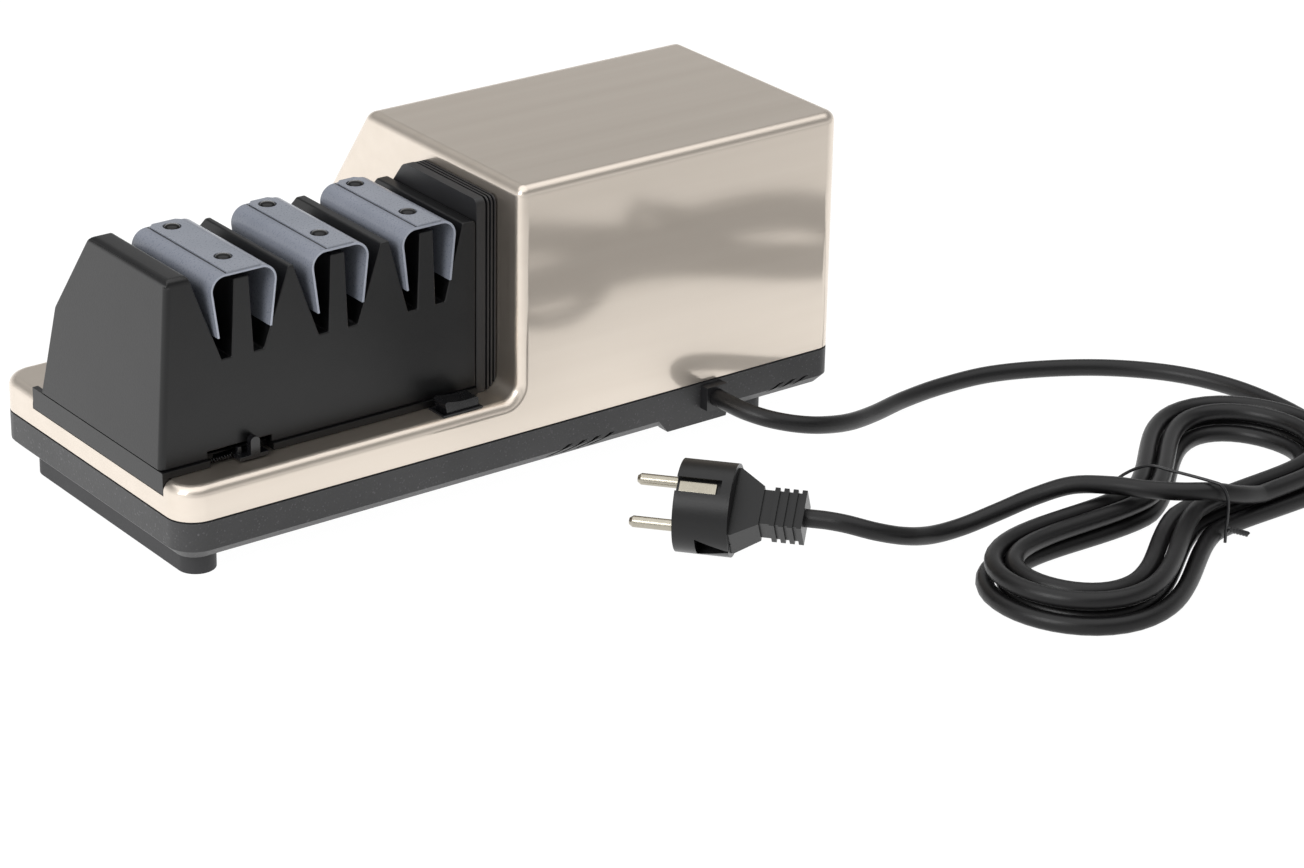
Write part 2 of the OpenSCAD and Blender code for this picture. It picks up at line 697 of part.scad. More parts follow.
module end_bell(face_x, way) {
    bolt = stator_side / 2 - 7;
    flange = stator_side / 2 - 1;
    translate([face_x, axis_y, axis_z]) rotate([0, 90 * way, 0]) difference() {
        union() {
            rotate_extrude() polygon([[bearing_r, bell_l - 4], [bell_r - 4, bell_l - 4],
                [bell_r - 4, 0], [bell_r, 0], [bell_r, bell_l], [bearing_r + 3, bell_l],
                [bearing_r + 3, bell_l + bearing_w / 2], [bearing_r, bell_l + bearing_w / 2]]);
            // Square flange that the four bolts clamp
            translate([-flange, -flange, 0]) cube([2 * flange, 2 * flange, flange_t]);
        }
        for (sy = [-1, 1]) for (sz = [-1, 1]) {
            translate([sz * bolt, sy * bolt, -1]) cylinder(h = flange_t + 2, r = hole_r);
            translate([sz * flange, sy * flange, 0]) rotate([0, 0, 45])
                translate([-4, -4, -1]) cube([8, 8, flange_t + 2]);
        }
        for (k = [0:5]) rotate([0, 0, 30 + 60 * k]) translate([24, 0, bell_l - 5])
            cylinder(h = 6, r = 4.5);
        translate([0, 0, -1]) cylinder(h = bell_l - 3, r = bell_r - 4);
    }
}

module motor_end_bells() {
    color("#8E9196") end_bell(stator_x, -1);
    color("#8E9196") end_bell(stator_end_x, 1);
}

module motor_bearings() {
    color(bright_c) for (x = [stator_x - bell_l - bearing_w / 2, stator_end_x + bell_l - bearing_w / 2])
        shaft_disc(x, x + bearing_w, bearing_r - 0.02, shaft_r + shaft_gap);
}

module motor_bolts() {
    bolt = stator_side / 2 - 7;
    color(zinc_c) for (sy = [-1, 1]) for (sz = [-1, 1])
        translate([stator_x - flange_t - screw_head_t, axis_y + sy * bolt, axis_z + sz * bolt])
            rotate([0, 90, 0]) {
                screw(stator_l + 2 * flange_t, 1);
                translate([0, 0, stator_l + 2 * flange_t + screw_head_t])
                    cylinder(h = 3, r = 3.6, $fn = 6);
            }
}

module rotor_core() {
    color(iron_c) shaft_disc(stator_x - 1, stator_end_x + 1, stator_bore_r - air_gap, shaft_r);
    color("#A8ABAF") for (x = [stator_x - 7, stator_end_x + 1]) shaft_disc(x, x + 6, stator_bore_r - 3, shaft_r);
}

module motor_shaft() {
    color(bright_c) shaft_disc(motor_shaft_x, motor_shaft_end_x, shaft_r);
}

module cooling_fan() {
    hub_x = stator_end_x + bell_l + bearing_w - 1;
    color(black_c) difference() {
        union() {
            shaft_disc(hub_x, hub_x + 9, 8);
            shaft_disc(hub_x, hub_x + 1.5, fan_r);
            for (k = [0:7]) translate([hub_x, axis_y, axis_z]) rotate([45 * k, 0, 0])
                translate([1, -1, 6]) cube([7.5, 2, fan_r - 8]);
        }
        shaft_disc(hub_x - 1, hub_x + 10, shaft_r);
    }
}

// The halves of the dog coupling: each has two quarter-round jaws
jaw_r = 8;
jaw_l = 4;
coupling_gap = 0.4;
coupling_mid_x = module_end_x + 4;

module jaw_pair(x0, x1, turn) {
    intersection() {
        shaft_disc(x0, x1, jaw_r, shaft_r + 0.5);
        translate([x0 - 1, axis_y, axis_z]) rotate([turn, 0, 0]) for (s = [0, 180])
            rotate([s, 0, 0]) rotate([90, 0, 90]) linear_extrude(x1 - x0 + 2)
                polygon([[0.4, 0], [20, -16], [20, 16]]);
    }
}

module drive_coupling() {
    x0 = coupling_mid_x + coupling_gap;
    color(zinc_c) shaft_disc(x0 + jaw_l, box_x + 4, jaw_r, shaft_r);
    color(zinc_c) jaw_pair(x0, x0 + jaw_l + eps, 0);
}

module driven_coupling() {
    x0 = module_end_x - 1.5;
    color(zinc_c) shaft_disc(x0, coupling_mid_x, jaw_r, shaft_r);
    color(zinc_c) jaw_pair(coupling_mid_x - eps, coupling_mid_x + jaw_l, 90);
}

// ---------- wiring ----------

module run_capacitor() {
    color("#D8D6CF") translate([capacitor_x, capacitor_y, capacitor_z]) rotate([0, 90, 0]) {
        cylinder(h = capacitor_l, r = capacitor_r);
        for (s = [-1, 1]) translate([s * 5 - 1, -3, capacitor_l - eps]) cube([2, 6, 5]);
    }
}

block_at = [right_x - 42, near_y + 30.5, floor_z];

module terminal_block() {
    color("#E4E2DA") translate(block_at) difference() {
        cube([30, 12, 11]);
        for (i = [0:2]) translate([5 + 10 * i, -1, 5.5]) rotate([-90, 0, 0]) cylinder(h = 14, r = 2);
        for (i = [0:2]) translate([5 + 10 * i, 6, 8]) cylinder(h = 4, r = 2.2);
    }
}

module earth_stud() {
    color(zinc_c) translate([right_x - 14, near_y + 52.5, floor_z]) {
        cylinder(h = 12, r = 2);
        cylinder(h = 1, r = 5);
        translate([0, 0, 4]) cylinder(h = 3.2, r = 4, $fn = 6);
    }
}

clamp_y = near_y + 8;
clamp_w = 18;
cable_end_y = clamp_y + 5;

module cable_inner() {
    color(rubber_c) translate([gland_x, cord_exit_y, gland_z]) rotate([-90, 0, 0])
        cylinder(h = cable_end_y - cord_exit_y, r = cord_r - 0.05);
}

module cord_clamp() {
    r = cord_r + 1.6;
    color(zinc_c) translate([gland_x, clamp_y, floor_z]) difference() {
        union() {
            translate([-clamp_w / 2, 0, 0]) cube([clamp_w, 5, 3]);
            translate([0, 0, gland_z - floor_z]) rotate([-90, 0, 0]) cylinder(h = 5, r = r);
            translate([-r, 0, 0]) cube([2 * r, 5, gland_z - floor_z]);
        }
        translate([0, -1, gland_z - floor_z]) rotate([-90, 0, 0]) cylinder(h = 7, r = cord_r);
        for (s = [-1, 1]) translate([s * (clamp_w / 2 - 2), 2.5, -1]) cylinder(h = 6, r = 1.1);
    }
}

// Two wires, one above the other, from the cord's end to the terminal block
module inner_wires() {
    for (i = [0:1]) color(["#2F5FA8", "#6B4A2E"][i])
        tube(smooth([[gland_x, cable_end_y, gland_z + 1.3 - 2.6 * i],
            [gland_x, cable_end_y + 1, gland_z + 1.3 - 2.6 * i],
            [gland_x + 2.6, cable_end_y + 2.6, gland_z + 1.3 - 2.6 * i],
            [gland_x + 12, cable_end_y + 2.8, gland_z + 1.3 - 2.6 * i],
            [block_at[0] + 1 + 9 * i, block_at[1] - 14.5, floor_z + 6.8 - 2.4 * i],
            [block_at[0] + 5 + 10 * i, block_at[1] - 4, floor_z + 5.5],
            [block_at[0] + 5 + 10 * i, block_at[1] - 0.1, floor_z + 5.5]], 4), 1, 6);
}

// ---------- switch ----------

switch_depth = 12;

module switch_body() {
    pocket_l = rocker_l + 0.9;
    pocket_w = rocker_w + 0.3;
    color(black_c) translate([rocker_x, rocker_y, 0]) difference() {
        union() {
            translate([-rocker_l / 2 - 0.8, -rocker_w / 2 - 0.8, deck_z - switch_depth])
                cube([rocker_l + 1.6, rocker_w + 1.6, switch_depth + 0.4]);
            translate([-rocker_l / 2 - 1.4, -rocker_w / 2 - 1.1, deck_z])
                cube([rocker_l + 2.8, rocker_w + 2.2, 0.7]);
            for (x = [-5, 4]) translate([x, -2.5, deck_z - switch_depth - 6]) cube([1, 5, 7]);
        }
        translate([-pocket_l / 2, -pocket_w / 2, deck_z - 4.5]) cube([pocket_l, pocket_w, 10]);
        translate([0, rocker_w, deck_z - 1.6]) rotate([90, 0, 0]) cylinder(h = 2 * rocker_w, r = 1.05);
    }
}

module switch_rocker() {
    half = rocker_l / 2;
    color(black_c) translate([rocker_x, rocker_y, deck_z]) {
        along_y(rounded([[-half + 2, -2.6], [half - 2, -2.6], [half, -0.4], [half, 4.9],
            [0, 4.7], [-half, 6]], [1, 1, 0.5, 1, 20, 1], 4), -rocker_w / 2, rocker_w / 2);
        translate([0, rocker_w / 2 + 0.6, -1.6]) rotate([90, 0, 0])
            cylinder(h = rocker_w + 1.2, r = 1);
    }
}

module cord_gland() {
    s = gland_side;
    neck = gland_side - 1.6;
    color(black_c) difference() {
        union() {
            translate([gland_x - s / 2, cord_exit_y, gland_z - s / 2]) cube([s, gland_out, s]);
            translate([gland_x - neck / 2, near_y - eps, gland_z - neck / 2]) cube([neck, 6.4, neck]);
            translate([gland_x - s / 2, near_y + 6.1, gland_z - s / 2 + 0.3]) cube([s, 1.6, s - 0.6]);
        }
        translate([gland_x, cord_exit_y - 1, gland_z]) rotate([-90, 0, 0])
            cylinder(h = gland_out + 12, r = cord_r);
    }
}

// ---------- module ----------

module module_case() {
    boss_r = 11;
    bush_r = 6;
    chamber_r = disc_d / 2 + 1.5;
    color(black_c) difference() {
        union() {
            difference() {
                intersection() {
                    along_y(module_front, module_near_y - 1, slope_foot_y + 1);
                    along_x(module_side(0), module_x - 1, module_end_x + 1);
                    translate([module_x - 1, module_near_y - 1, case_z]) cube([module_l + 2, 200, 200]);
                }
                // Hollow inside, with the same wall all round
                intersection() {
                    translate([0, slope_foot_y, 0]) rotate([90, 0, 0])
                        linear_extrude(slope_foot_y - module_near_y) offset(delta = -case_wall)
                            polygon(module_front);
                    along_x(module_side(case_wall), module_x - 1, module_end_x + 1);
                }
            }
            // Bosses for the two bushes of the honing shaft
            shaft_disc(left_x + 3.6, left_x + 12.6, boss_r);
            shaft_disc(module_end_x - 11, module_end_x - 1, boss_r);
            // Bosses under the guides
            for (i = [0:2]) for (y = guide_screw_y)
                translate([stage_x[i], y, post_z - guide_screw_l - 1])
                    cylinder(h = guide_z - guide_t - post_z + guide_screw_l + 1, r = 3.4);
            // Posts for the base plate's screws
            for (p = base_screw_places())
                translate([p[0], p[1], case_z]) cylinder(h = 14, r = 3.6);
        }
        for (p = base_screw_places())
            translate([p[0], p[1], case_z - 1]) cylinder(h = 11, r = 1.3);
        shaft_disc(left_x + 4.6, left_x + 14, bush_r);
        shaft_disc(module_end_x - 12, module_end_x - 2, bush_r);
        shaft_disc(module_end_x - 3, module_end_x + 1, jaw_r + 1);
        // The discs reach into the slots
        for (i = [0:2])
            shaft_disc(stage_x[i] - post_half[i] - 0.3, stage_x[i] + post_half[i] + 0.3, chamber_r);
        for (i = [0:2]) for (y = guide_screw_y)
            translate([stage_x[i], y, post_z - guide_screw_l]) cylinder(h = 30, r = guide_screw_r + 0.1);
        // Window for the latch
        translate([latch_window[0], module_near_y - 1, case_z - 1])
            cube([latch_window[1] - latch_window[0], 5, 4.2]);
    }
}

function base_screw_places() = [[left_x + 10, module_near_y + 5], [left_x + 10, slope_foot_y - 7],
    [module_end_x - 8, module_near_y + 5], [module_end_x - 8, slope_foot_y - 7]];

module module_base() {
    channel_w = rail_w + 2 * slide_gap;
    tongue_y = base_near_y + 6;
    color(black_c) difference() {
        union() {
            translate([module_x, base_near_y, base_z])
                cube([module_l, slope_foot_y - base_near_y, module_base_t]);
            // End apron that hangs in the cover's notch
            translate([module_x, base_near_y, apron_z])
                cube([apron_t, apron_far_y - base_near_y, case_z - apron_z]);
        }
        for (y = rail_y) translate([rail_x - slide_gap - 0.1, y - channel_w / 2, base_z - 1])
            cube([module_l, channel_w, rail_t + 1]);
        translate([latch_window[0], base_near_y - 1, base_z - 1])
            cube([latch_window[1] - latch_window[0], 7, 6]);
        // Groove for the latch's tongue
        translate([latch_x - 14, tongue_y - 1, base_z + 0.5]) cube([22, 3.6, 1.5]);
        for (p = base_screw_places()) translate([p[0], p[1], base_z - 1]) {
            cylinder(h = 5, r = 1.7);
            cylinder(h = 2.3, r = 3.1);
        }
    }
}

module base_screws() {
    color(zinc_c) for (p = base_screw_places())
        translate([p[0], p[1], base_z]) screw(10, 1, 1.25, 2.9, 1.2);
}

module guide(i) {
    x = stage_x[i];
    tip = guide_tip_half[i];
    top = guide_top_half[i];
    outer = rounded([[x - tip, guide_tip_z], [x - top, guide_z], [x + top, guide_z],
        [x + tip, guide_tip_z]], [0, 6.5, 6.5, 0], 10);
    inner = rounded([[x - tip + guide_t, guide_tip_z - 0.01], [x - top + guide_t, guide_z - guide_t],
        [x + top - guide_t, guide_z - guide_t], [x + tip - guide_t, guide_tip_z - 0.01]],
        [0, 5.5, 5.5, 0], 10);
    color(slate_c) difference() {
        along_y(outer, guide_near_y, guide_near_y + guide_l);
        along_y(inner, guide_near_y - 1, guide_near_y + guide_l + 1);
        for (y = guide_screw_y) translate([x, y, guide_z - 5]) cylinder(h = 10, r = guide_screw_r + 0.15);
    }
}

module guide_1() {
    guide(0);
}

module guide_2() {
    guide(1);
}

module guide_3() {
    guide(2);
}

module guide_strips() {
    color("#868EA0") for (i = [0:2]) difference() {
        translate([0, 0, guide_z]) linear_extrude(strip_t)
            polygon([[stage_x[i] - strip_half[i], guide_near_y], [stage_x[i] + strip_half[i], guide_near_y],
                [stage_x[i] + strip_half[i], guide_near_y + guide_l - 2],
                [stage_x[i] + strip_half[i] - 2, guide_near_y + guide_l],
                [stage_x[i] - strip_half[i] + 2, guide_near_y + guide_l],
                [stage_x[i] - strip_half[i], guide_near_y + guide_l - 2]]);
        for (y = guide_screw_y) translate([stage_x[i], y, guide_z - 1]) cylinder(h = 5, r = 3.7);
    }
}

module guide_screws() {
    head_r = 3.3;
    color(black_c) for (i = [0:2]) for (y = guide_screw_y) translate([stage_x[i], y, guide_z]) {
        rotate_extrude() polygon([[0, 0], [head_r, 0], [head_r, 0.5], [2.6, 1.2], [1.4, 1.55], [0, 1.65]]);
        translate([0, 0, -guide_screw_l + 0.6]) cylinder(h = guide_screw_l - 0.6 + eps, r = guide_screw_r);
    }
}

module hone_bushes() {
    color(copper_c) shaft_disc(left_x + 5, left_x + 12.6, 5.98, shaft_r + shaft_gap);
    color(copper_c) shaft_disc(module_end_x - 11, module_end_x - 3.1, 5.98, shaft_r + shaft_gap);
}

module hone_shaft() {
    color(bright_c) shaft_disc(hone_shaft_x + 0.5, hone_shaft_end_x, shaft_r);
    // Stops that the springs press the discs against
    color(bright_c) for (x = stage_x) for (s = [-1, 1])
        shaft_disc(x + s * (disc_seat + 0.75) - 0.5, x + s * (disc_seat + 0.75) + 0.5, 5.4);
}

module disc(i, side) {
    r = disc_d / 2;
    bore = shaft_r + shaft_gap;
    color("#9A9C9E") translate([stage_x[i] + side * disc_seat, axis_y, axis_z])
        rotate([0, -90 * side, 0]) rotate_extrude()
            polygon([[bore, 0], [9, 0], [r, 0.9], [r, disc_t], [bore, disc_t]]);
}

module disc_1a() {
    disc(0, -1);
}

module disc_1b() {
    disc(0, 1);
}

module disc_2a() {
    disc(1, -1);
}

module disc_2b() {
    disc(1, 1);
}

module disc_3a() {
    disc(2, -1);
}

module disc_3b() {
    disc(2, 1);
}

// A pair of cone springs in each stage, drawn at their pressed length
module disc_springs() {
    half = disc_seat - disc_t - disc_travel - 0.1;
    bore = shaft_r + 0.1;
    color(bright_c) for (x = stage_x) translate([x, axis_y, axis_z]) rotate([0, 90, 0])
        rotate_extrude() polygon([[bore, -half], [bore + 0.8, -half], [9.5, -0.3], [9.5, 0.3],
            [bore + 0.8, half], [bore, half]]);
}

module latch_button() {
    y0 = base_near_y - 2.9;
    z0 = base_z + 0.3;
    color(black_c) {
        translate([latch_x - 7, base_near_y - 2.9, z0]) cube([13, 8, 1.6]);
        translate([latch_x - 5, base_near_y + 5, z0 + 0.4]) cube([9, 2.2, 1]);
        // Thumb tab, round at the top
        translate([latch_x, y0, 0]) union() {
            translate([-2.1, 0, z0]) cube([4.2, 3.1, 6.9]);
            translate([0, 3.1, z0 + 6.9]) rotate([90, 0, 0]) cylinder(h = 3.1, r = 2.1);
        }
        translate([latch_x - 6, base_near_y + 0.4, z0]) cube([1.6, 2, 4.6]);
    }
}

module latch_spring() {
    color(bright_c) translate([latch_x - 18.6, base_near_y + 2.6, base_z + 1.3]) rotate([0, 90, 0])
        cylinder(h = 11.4, r = 1);
}

// ---------- cord and plug ----------

plug_way = [cos(plug_heading), sin(plug_heading), 0];
plug_end = [plug_at[0], plug_at[1], plug_d / 2] - plug_l * plug_way;
lead_path = smooth(concat(LEAD_POINTS,
    [hank_in - cord_d * hank_way(hank_start), hank_in]), 2);
tail_path = smooth(concat([hank_out, hank_out + cord_d * hank_way(hank_end)], TAIL_POINTS,
    [plug_end - cord_d * plug_way, plug_end]), 2);

module cord_lead() {
    color(rubber_c) translate(cord_shift) tube(lead_path, cord_r, 8);
}

module cord_hank() {
    color(rubber_c) translate(cord_shift) tube(hank_path, cord_r, 6);
}

module cord_tail() {
    color(rubber_c) translate(cord_shift) tube(tail_path, cord_r, 8);
}

// The wire tie goes over the waist and the strand that crosses it
function tie_arch(grow) =
    let (w = hank_waist + hank_step * hank_loops / 2 + cord_r + 0.7 + grow,
        top = ground + 2 * hank_step + cord_r + 1.2 + grow)
    rounded([[-w, 0], [w, 0], [w, top - 11], [w - 14, top], [-w + 3, top], [-w, top - 6]],
        [0, 0, 5, 5, 4, 2], 4);

module cord_tie() {
    color(black_c) translate([HANK_CENTRE[0], HANK_CENTRE[1], 0] + cord_shift)
        rotate([0, 0, hank_turn]) rotate([90, 0, 90]) linear_extrude(1.4, center = true)
        difference() {
            polygon(tie_arch(1));
            polygon(tie_arch(0));
            translate([-50, -1]) square([100, 1.2]);
        }
}

// The plug's own frame: X towards the pins, Y along the pin pair
module in_plug() {
    translate([plug_at[0], plug_at[1], plug_d / 2] + cord_shift) rotate([0, 0, plug_heading])
        rotate([plug_roll, 0, 0]) children();
}

plug_body_l = 22;
relief_l = 18;

module plug_body() {
    r = plug_d / 2;
    grip = [17, 14];
    grip_y = r - 5.6;
    color(black_c) in_plug() difference() {
        union() {
            translate([-plug_body_l, 0, 0]) rotate([0, 90, 0]) cylinder(h = plug_body_l, r = r);
            hull() {
                translate([-plug_body_l - 1, -r * 0.8, -8]) cube([2, r * 1.6, 16]);
                translate([-plug_l + relief_l - 1, -grip[0] / 2, -grip[1] / 2]) cube([1, grip[0], grip[1]]);
            }
            translate([-plug_l, -grip[0] / 2 + 1, -grip[1] / 2 + 1]) cube([relief_l, grip[0] - 2, grip[1] - 2]);
            for (i = [0:3]) translate([-plug_l + 3.6 * i, -grip[0] / 2, -grip[1] / 2])
                cube([2, grip[0], grip[1]]);
        }
        // Three-sided finger grips on both flanks
        for (s = [-1, 1]) translate([0, s * grip_y, 0]) rotate([-90 * s, 0, 0]) linear_extrude(r)
            polygon([[-9, -6], [-9, 6], [-plug_body_l - 1, 0]]);
        // Grooves for the earth clips
        for (s = [-1, 1]) translate([-18, -3.2, s > 0 ? r - 3.2 : -r - 1]) cube([20, 6.4, 4.2]);
        for (s = [-1, 1]) translate([-14, s * pin_pitch / 2, 0]) rotate([0, 90, 0])
            cylinder(h = 20, r = pin_d / 2);
        translate([-1, 0, -5.6]) rotate([0, 90, 0]) translate([0, 0, -13]) cylinder(h = 20, r = 2.5);
        translate([-plug_l - 1, 0, 0]) rotate([0, 90, 0]) cylinder(h = 1 + eps, r = cord_r);
    }
}

module plug_pins() {
    color(bright_c) in_plug() for (s = [-1, 1]) translate([-13.9, s * pin_pitch / 2, 0])
        rotate([0, 90, 0]) {
            cylinder(h = 13.9 + 17.6, r = pin_d / 2 - 0.03);
            translate([0, 0, 13.9 + 17.6 - eps]) cylinder(h = 1.4, r1 = pin_d / 2 - 0.03, r2 = 1.4);
        }
}

module plug_earth_clips() {
    r = plug_d / 2;
    color(bright_c) in_plug() for (s = [-1, 1])
        translate([-16, -2.4, s > 0 ? r - 3.15 : -r + 2.15]) cube([15, 4.8, 1]);
}

// Least gap between strands of the hank
gaps = [for (i = [0:len(hank_path) - 1]) for (j = [i + 8:1:len(hank_path) - 1])
    norm(hank_path[i] - hank_path[j])];
echo(hank_least_gap = min(gaps) - cord_d);

base_pan();
foot_bar();
rear_feet();
foot_screws();
cover();
cover_screws();
seam_gasket();
module_rails();
module_seal();
motor_bracket();
motor_mounts();
bracket_screws();
motor_stator();
motor_coils();
motor_end_bells();
motor_bearings();
motor_bolts();
rotor_core();
motor_shaft();
cooling_fan();
drive_coupling();
run_capacitor();
terminal_block();
earth_stud();
cable_inner();
cord_clamp();
inner_wires();
switch_body();
switch_rocker();
cord_gland();
module_case();
module_base();
base_screws();
guide_1();
guide_2();
guide_3();
guide_strips();
guide_screws();
hone_bushes();
hone_shaft();
driven_coupling();
disc_1a();
disc_1b();
disc_2a();
disc_2b();
disc_3a();
disc_3b();
disc_springs();
latch_button();
latch_spring();
cord_lead();
cord_hank();
cord_tail();
cord_tie();
plug_body();
plug_pins();
plug_earth_clips();
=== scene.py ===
# %% [markdown]
# # An electric knife sharpener, dressed for the camera
#
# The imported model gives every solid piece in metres. This lesson puts a camera and a cord round
# it, makes a few pieces anew where the solids are plainer than the real ones, and gives each
# surface the finish that its maker gave it.

# %% Load the frame
import bpy
import bmesh
import json
from math import cos, pi, radians, sin
from mathutils import Matrix, Vector
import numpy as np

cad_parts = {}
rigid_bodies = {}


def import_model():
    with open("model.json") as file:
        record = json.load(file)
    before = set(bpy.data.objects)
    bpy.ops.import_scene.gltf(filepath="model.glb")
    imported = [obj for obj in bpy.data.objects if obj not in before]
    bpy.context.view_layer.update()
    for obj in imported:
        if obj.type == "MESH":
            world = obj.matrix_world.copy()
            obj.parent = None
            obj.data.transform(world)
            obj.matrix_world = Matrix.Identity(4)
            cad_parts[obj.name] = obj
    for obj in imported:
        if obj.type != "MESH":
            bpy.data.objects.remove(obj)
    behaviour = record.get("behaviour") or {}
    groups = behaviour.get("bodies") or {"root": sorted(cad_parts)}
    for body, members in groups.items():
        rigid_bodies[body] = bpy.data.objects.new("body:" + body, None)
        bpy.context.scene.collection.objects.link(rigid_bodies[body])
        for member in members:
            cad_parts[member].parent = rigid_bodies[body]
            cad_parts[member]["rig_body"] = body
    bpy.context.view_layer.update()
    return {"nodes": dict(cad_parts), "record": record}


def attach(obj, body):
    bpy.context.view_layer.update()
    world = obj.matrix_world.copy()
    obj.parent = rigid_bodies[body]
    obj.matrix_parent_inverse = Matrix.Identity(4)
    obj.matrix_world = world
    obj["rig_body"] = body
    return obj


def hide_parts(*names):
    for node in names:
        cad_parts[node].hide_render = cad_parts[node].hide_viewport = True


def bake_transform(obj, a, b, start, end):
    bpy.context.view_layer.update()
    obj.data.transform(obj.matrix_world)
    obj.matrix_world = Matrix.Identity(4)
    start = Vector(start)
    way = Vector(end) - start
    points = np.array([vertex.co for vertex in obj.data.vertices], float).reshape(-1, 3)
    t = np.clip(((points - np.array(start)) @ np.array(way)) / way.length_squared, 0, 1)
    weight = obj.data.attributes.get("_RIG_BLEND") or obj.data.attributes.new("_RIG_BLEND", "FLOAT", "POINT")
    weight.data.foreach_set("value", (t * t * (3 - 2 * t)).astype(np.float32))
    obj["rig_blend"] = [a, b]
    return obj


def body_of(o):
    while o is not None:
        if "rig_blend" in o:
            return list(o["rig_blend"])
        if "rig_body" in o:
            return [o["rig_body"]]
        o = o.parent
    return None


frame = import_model()
nodes = frame["nodes"]

# %% [markdown]
# The real one was photographed from its near left corner, a little above it, with a long lens.
# A camera could be guessed by eye, but here its place and its three axes were worked out from
# the edges of the body in the picture, so the model's edges land where the real ones do.

# %% Camera
CAMERA_AT = Vector((-0.8720, -1.3005, 0.6993))
camera_right = Vector((0.80001364, -0.59970387, 0.01826048))
camera_down = Vector((-0.23108287, -0.33606946, -0.91304875))
camera_forward = Vector((0.55369566, 0.72623177, -0.40744145))
camera_data = bpy.data.cameras.new("camera")
camera_data.lens = 112.76
camera_data.sensor_width = 36
camera_data.sensor_fit = "HORIZONTAL"
camera_data.clip_end = 50
camera = bpy.data.objects.new("camera", camera_data)
bpy.context.collection.objects.link(camera)
turn = Matrix((camera_right, -camera_down, -camera_forward)).transposed()
camera.matrix_world = Matrix.Translation(CAMERA_AT) @ turn.to_4x4()
bpy.context.scene.camera = camera
print("camera at", [round(v, 3) for v in CAMERA_AT])

# %% [markdown]
# The mains lead is a round rubber cord, 7.4 mm thick and 2.6 m long. It leaves the bushing
# square to the wall, drops to the table in a wide bend, and is gathered in a flat hank with a
# wire tie round its waist. A rope tool could simulate it, but a packed cord lies still, so the
# same route as in the solids is drawn as one curve with a round bevel.

# %% The cord's route
MM = 0.001
CORD_D = 7.4
# Height of the cord's middle where it lies, a hair above the table
GROUND = 3.8
# Places chosen along the photographed cord, from the bushing to the hank, and from it to the plug
LEAD_POINTS = [(94.4, -77.2, 21.2), (94.4, -84.6, 21.2), (96.3, -95, 20.5),
    (102, -104.2, 19), (111.3, -110.8, 17), (123, -113, 14.5), (139, -110.5, 11),
    (158, -103.5, 7.5), (181, -95, 4.9), (206, -91, GROUND), (232, -93, GROUND),
    (258, -103, GROUND), (281, -118, GROUND), (299, -138, GROUND), (309, -161, GROUND),
    (312, -185, GROUND), (310, -209, GROUND), (302, -232, GROUND), (288, -250.5, GROUND),
    (271, -260.5, GROUND)]
TAIL_POINTS = [(214, -264, 16.5), (200.5, -262, 20.6), (189.5, -255, 20.8),
    (180, -246, 20.8), (171, -235, 20.8), (160, -224, 19.5), (148, -215.5, 14.5),
    (134, -209.5, 9), (119, -206, 5.4), (103, -206, 6), (88, -207.3, 10), (75, -204.8, 14.4),
    (65, -198, 17.8)]
PLUG_AT = Vector((21.5, -148.3, 18.6))
PLUG_HEADING = radians(131)
PLUG_L = 50
plug_way = Vector((cos(PLUG_HEADING), sin(PLUG_HEADING), 0))
plug_end = PLUG_AT - PLUG_L * plug_way

# %% The hank's outline, from the same formula as the solids
HANK_LOOPS = 4
# From strand to strand, sideways and in height
HANK_STEP = 8.2
# It starts, and ends, a twelfth of a loop before the waist
HANK_START = -1 / 12
HANK_END = HANK_LOOPS + HANK_START
HANK_CENTRE = Vector((193, -246))
HANK_TURN = radians(20)
# Half of its length, half of its waist, how far its ends swell, and how unlike they are
HANK_HALF = 94
WAIST_HALF = 4.3
SWELL = 48
SWELL_SKEW = 2
LOBE_SHIFT = 3
LOBE_POWER = 1.6


def hank_bare(a):
    """The innermost strand's outline at an angle: narrow at the waist and wide at both ends."""
    lobe = abs(cos(a)) ** LOBE_POWER
    half_width = WAIST_HALF + (SWELL + SWELL_SKEW * cos(a)) * lobe
    return Vector((HANK_HALF * cos(a), sin(a) * half_width + LOBE_SHIFT * lobe))

# %% Its strands, which widen from loop to loop and climb to a second layer half way
def hank_point(t):
    a = radians(270 - 360 * t)
    side = hank_bare(a + radians(0.5)) - hank_bare(a - radians(0.5))
    out = Vector((side.y, -side.x)).normalized() * HANK_STEP * abs(HANK_LOOPS / 2 - t)
    x, y = hank_bare(a) + out
    climb = min(max((t - HANK_LOOPS / 2) * 2 + 0.5, 0), 1)
    return Vector((HANK_CENTRE.x + x * cos(HANK_TURN) - y * sin(HANK_TURN),
        HANK_CENTRE.y + x * sin(HANK_TURN) + y * cos(HANK_TURN),
        GROUND + HANK_STEP * climb * climb * (3 - 2 * climb)))


def hank_way(t):
    return (hank_point(t + 0.002) - hank_point(t - 0.002)).normalized()


HANK_STEPS = 368
hank = [hank_point(HANK_START + (HANK_END - HANK_START) * i / HANK_STEPS)
    for i in range(HANK_STEPS + 1)]
hank_in = hank[0] - CORD_D * hank_way(HANK_START)
hank_out = hank[-1] + CORD_D * hank_way(HANK_END)
print("hank of", HANK_LOOPS, "loops, from", [round(v) for v in hank_in])

# %% A smooth curve through chosen places
def smooth(points, steps):
    """A Catmull-Rom curve through the points, with its first and last stretch straight."""
    points = [Vector(p) for p in points]
    last = len(points) - 1
    path = [points[0]]
    for i in range(1, last - 1):
        a, b, c, d = points[i - 1], points[i], points[i + 1], points[i + 2]
        for k in range(steps):
            t = k / steps
            path.append(0.5 * (2 * b + (c - a) * t + (2 * a - 5 * b + 4 * c - d) * t * t
                + (3 * b - a - 3 * c + d) * t ** 3))
    return path + points[-2:]

